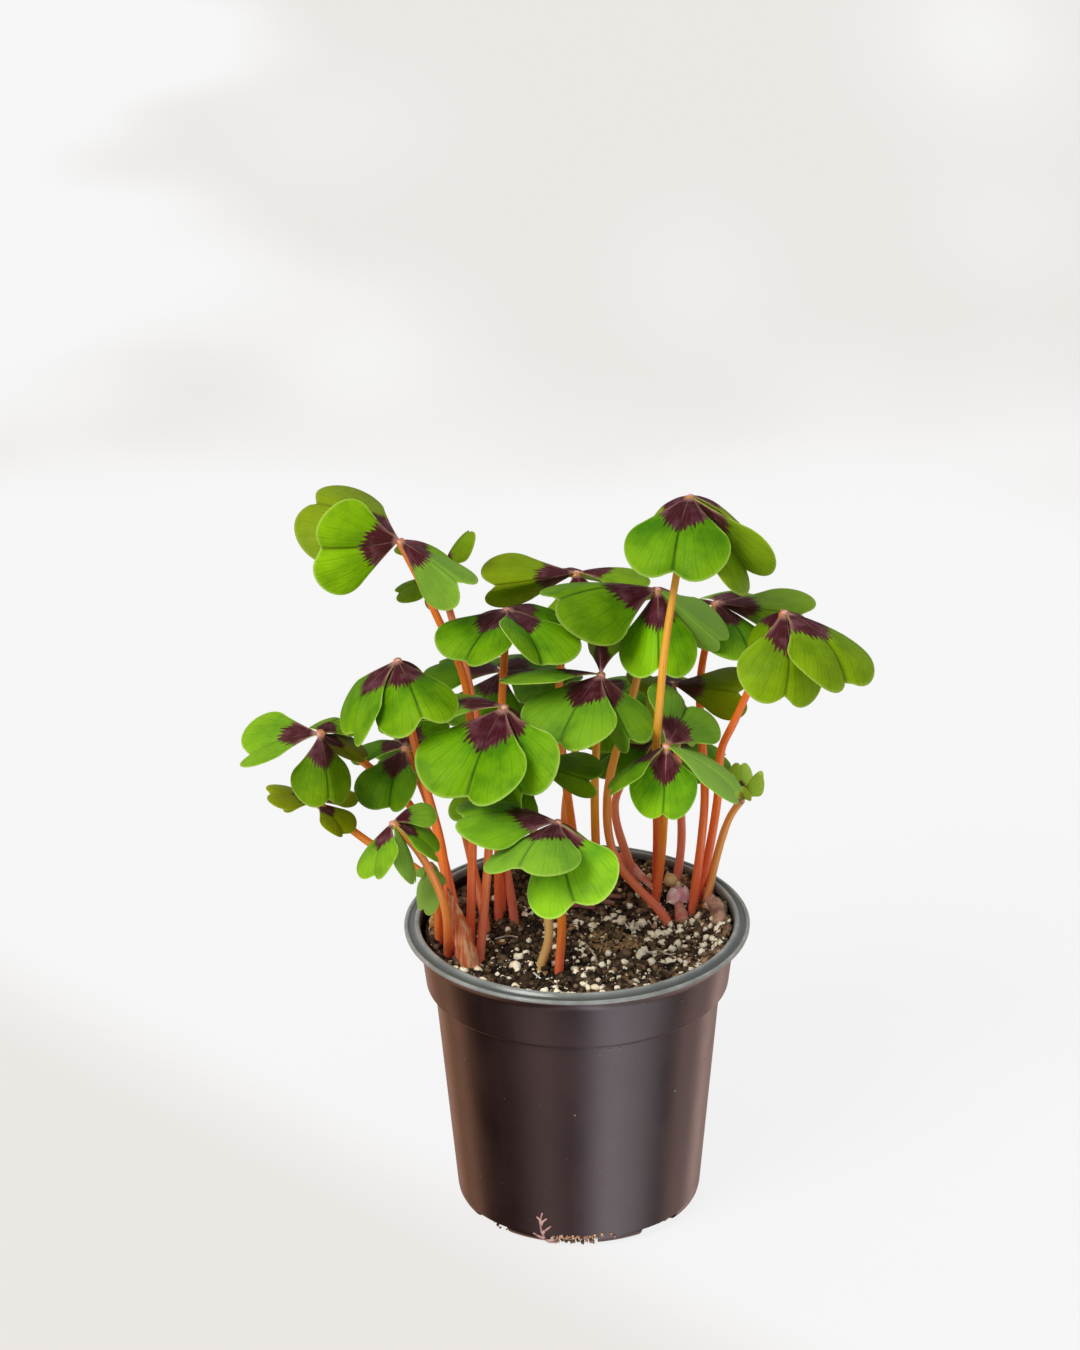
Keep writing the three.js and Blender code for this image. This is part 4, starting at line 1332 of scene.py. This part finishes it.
def makeRootThreads():
    threads = Body()
    for line in curls:
        path = curveThrough([onSoil(x, y, 0.9) for x, y in line], 0.7)
        points, faces, _ = tubeAlong(path, litter["threadRadius"], 7)
        threads.add(points, faces)
    centre = litter["spikesAt"]
    for _ in range(litter["spikes"]):
        turn, reach = rng.uniform(0, 6.3), rng.uniform(1.4, 3.2)
        path = [onSoil(*centre, 0.4), onSoil(*away(centre, turn, 0.6 * reach), 1.5),
                onSoil(*away(centre, turn, reach), rng.uniform(0.6, 2.8))]
        points, faces, _ = tubeAlong(curveThrough(path, 0.5), litter["threadRadius"], 6)
        threads.add(points, faces, 0, (1.15, 1.15, 1.15))
    threads.piece("rootThreads", [plainFinish(*litter["threadSkin"])], None)


def makeTanFibres():
    fibres = Body()
    for _ in range(litter["fibres"]):
        turn, out = rng.uniform(0, 6.3), math.sqrt(rng.random())
        lie, reach = rng.uniform(0, 3.2), rng.uniform(0.8, 2.2)
        x = litter["fibresAt"][0] + litter["fibresReach"][0] * out * math.cos(turn)
        y = litter["fibresAt"][1] + litter["fibresReach"][1] * out * math.sin(turn)
        ends = [away((x, y), lie, -reach), (x, y + 0.3), away((x, y), lie, reach)]
        path = curveThrough([onSoil(a, b, rng.uniform(0.4, 1.6)) for a, b in ends], 0.8)
        points, faces, _ = tubeAlong(path, rng.uniform(0.14, 0.3), 5)
        light = rng.uniform(0.6, 1.2)
        fibres.add(points, faces, 0, (light, light, light))
    fibres.piece("tanFibres", [plainFinish(*litter["fibreSkin"])], None)


makeStemScraps()
makeRootThreads()
makeTanFibres()

# dry skins round the stalks' feet: each is a strip between two lines of points, and its middle bulges
drySkins = {
    "leafSheath": {
        "left": ((-36.8, -21.4, 90.4), (-38.2, -20.8, 98), (-39.6, -19.8, 108), (-40.6, -19.0, 118.5)),
        "right": ((-30.2, -20.6, 90.4), (-32.0, -20.4, 98), (-34.6, -19.4, 107), (-40.2, -18.8, 118.0)),
        "bulge": (0, -2.4, 0),
        "first": colour(232, 132, 76),
        "second": colour(252, 210, 166),
    },
    "dryFlake": {
        "left": ((-46.2, -6.4, 92.8), (-47.0, -2.0, 95.0), (-46.6, 2.6, 97.6), (-44.6, 6.2, 99.4)),
        "right": ((-39.4, -6.6, 91.4), (-39.8, -2.6, 93.4), (-41.0, 1.8, 96.2), (-43.6, 5.8, 99.2)),
        "bulge": (1.2, 0.4, -2.4),
        "first": colour(232, 208, 144),
        "second": colour(196, 146, 76),
    },
}
skinForm = {"rows": 36, "columns": 15, "half": 0.14, "crinkle": 0.35, "teeth": 1.3}


def skinFinish(name, first, second):
    f = Finish(name)
    x, y, z = f.parts(f.place())
    stretched = f.vector(f.times(x, 900.0), f.times(y, 900.0), f.times(z, 70.0))
    streaks = f.grain(stretched, 1.0, 4)
    base = f.mix(f.step(streaks, 0.42, 0.6), first, second)
    bump = f.relief(streaks, 0.5 * mm, 0.7)
    skin = f.shader(base, 0.5, bump, Specular_IOR_Level=0.4)
    through = f.node("BsdfTranslucent", base).outputs[0]
    return f.end(f.node("MixShader", 0.45, skin, through).outputs[0])


def makeSkin(name, skin):
    form = skinForm
    left, right = (curveThrough(skin[side], 0.5) for side in ("left", "right"))
    run = np.linspace(0, 1, form["rows"])
    edges = [np.stack([np.interp(run, np.linspace(0, 1, len(e)), e[:, k]) for k in range(3)], 1)
             for e in (left, right)]
    across = np.linspace(0, 1, form["columns"])
    sheet = edges[0][:, None] * (1 - across[:, None]) + edges[1][:, None] * across[:, None]
    width = np.linalg.norm(edges[1] - edges[0], axis=1)[:, None, None]
    sheet = sheet + np.sin(across * math.pi)[:, None] * np.array(skin["bulge"]) * width / width.max()
    for row in sheet:
        for point in row:
            shake = noise.noise_vector(Vector(point) * 0.45)
            point += np.array(shake) * form["crinkle"] * (1 if point[2] > 92 else 0.3)
    # the top edge is frayed
    fray = np.array([form["teeth"] * noise.noise(Vector((a * 9, skin["bulge"][1], 0))) for a in across])
    sheet[-6:, :, 2] += np.linspace(0, 1, 6)[:, None] * fray
    points, faces, _ = thickSheet(sheet, form["half"])
    body = Body()
    body.add(points, faces)
    body.piece(name, [skinFinish(name, skin["first"], skin["second"])], None)


for name, skin in drySkins.items():
    makeSkin(name, skin)

# a lump of old root that leans on the pot's wall, as a line of (turn, height, radius)
clumpForm = {
    "line": [(-4, 92.4, 1.0), (0, 94.4, 1.9), (6, 95.6, 2.3), (13, 96.0, 2.4), (20, 95.4, 2.1),
             (25, 92.8, 1.2)],
    "reach": 45.9,
    "knobs": 0.8,
    "skin": ("rootClump", colour(206, 160, 138), colour(132, 94, 78), 200, 0.8, 0.6),
}
# a small bulb beside the large one
bulbilForm = {
    "place": (30.4, 29.6, 96.2),
    "tilt": (25, 15),
    "outline": [(0, -2.4), (1.5, -1.7), (2.2, -0.2), (1.8, 1.4), (0, 2.4)],
    "skin": ("bulbilSkin", colour(240, 222, 160), colour(226, 190, 130), 260, 0.45, 0.2),
}


def makeClump():
    form = clumpForm
    spots = [(*away((0, 0), math.radians(turn), form["reach"]), height) for turn, height, _ in form["line"]]
    path = curveThrough(spots, 0.5)
    share = np.linspace(0, 1, len(path))
    radii = np.interp(share, np.linspace(0, 1, len(spots)), [radius for _, _, radius in form["line"]])
    points, faces, _ = tubeAlong(path, radii, 26)
    points = np.array([p + np.array(noise.noise_vector(Vector(p) * 0.7)) * form["knobs"] for p in points])
    clump = Body()
    clump.add(points, faces)
    clump.piece("rootClump", [plainFinish(*form["skin"])], None)


def makeBulbil():
    form = bulbilForm
    points, faces = turnedSmooth(form["outline"], 0.3, 0.1, 24, form["place"], form["tilt"])
    body = Body()
    body.add(points, faces)
    body.piece("bulbil", [plainFinish(*form["skin"])], None)


makeClump()
makeBulbil()
print("litter, skins and drains made")

studio = {
    "floorSize": 6,
    "floorDrop": 0.3,
    "skyLight": 0.6,
    "skyTint": (0.95, 0.97, 1.0),
    "groundTint": (0.04, 0.02, 0.02),
    "keyStrength": 2.45,
    "keyAngle": 30,
    "keyTint": (1.0, 0.98, 0.94),
    "keyFrom": (-0.75, -0.85, 1.1),
}
# what glossy plastic mirrors from below the horizon, as (turn from the front, width, colour)
mirrored = [
    (27, 21, (2.8, 2.45, 2.75)),
    (58, 22, (1.7, 1.5, 1.6)),
    (-32, 24, (1.2, 0.8, 0.8)),
    (106, 14, (1.2, 0.8, 0.75)),
    (138, 16, (1.3, 0.9, 0.8)),
    (-122, 14, (1.0, 0.5, 0.3)),
    (-150, 14, (0.55, 0.25, 0.12)),
    (180, 26, (0.55, 0.38, 0.34)),
]


def makeStudio():
    half = studio["floorSize"] / 2
    mesh = bpy.data.meshes.new("floor")
    corners = [(-half, -half, 0), (half, -half, 0), (half, half, 0), (-half, half, 0)]
    mesh.from_pydata(corners, [], [(0, 1, 2, 3)])
    mesh.materials.append(floorFinish())
    floor = bpy.data.objects.new("floor", mesh)
    floor.location.z = -studio["floorDrop"] * mm
    floor.visible_glossy = False
    bpy.context.scene.collection.objects.link(floor)

    world = bpy.data.worlds.new("sky")
    f = Finish("sky", world)
    x, y, z = f.parts(f.place("Generated"))
    turn = f.calc("ARCTAN2", x, f.times(y, -1.0))
    low = (*studio["groundTint"], 1)
    for angle, width, tint in mirrored:
        for whole in (-360, 0, 360):
            if abs(angle + whole) < 270:
                share = f.hump(turn, math.radians(angle + whole), math.radians(width))
                low = f.mix(share, low, (*tint, 1), "ADD")
    high = tuple(studio["skyLight"] * c for c in studio["skyTint"]) + (1,)
    sky = f.node("Background", f.mix(f.step(z, -0.10, 0.0), low, high), 1.0)
    f.put(f.node("OutputWorld"), 0, sky.outputs[0])
    bpy.context.scene.world = world

    key = bpy.data.lights.new("key", "SUN")
    key.energy = studio["keyStrength"]
    key.angle = math.radians(studio["keyAngle"])
    key.color = studio["keyTint"]
    lamp = bpy.data.objects.new("key", key)
    place = Vector(studio["keyFrom"])
    lamp.matrix_world = Matrix.Translation(place) @ (-place).to_track_quat("-Z", "Y").to_matrix().to_4x4()
    bpy.context.scene.collection.objects.link(lamp)

    bpy.context.scene.view_settings.view_transform = "Standard"


makeStudio()
print("studio made")
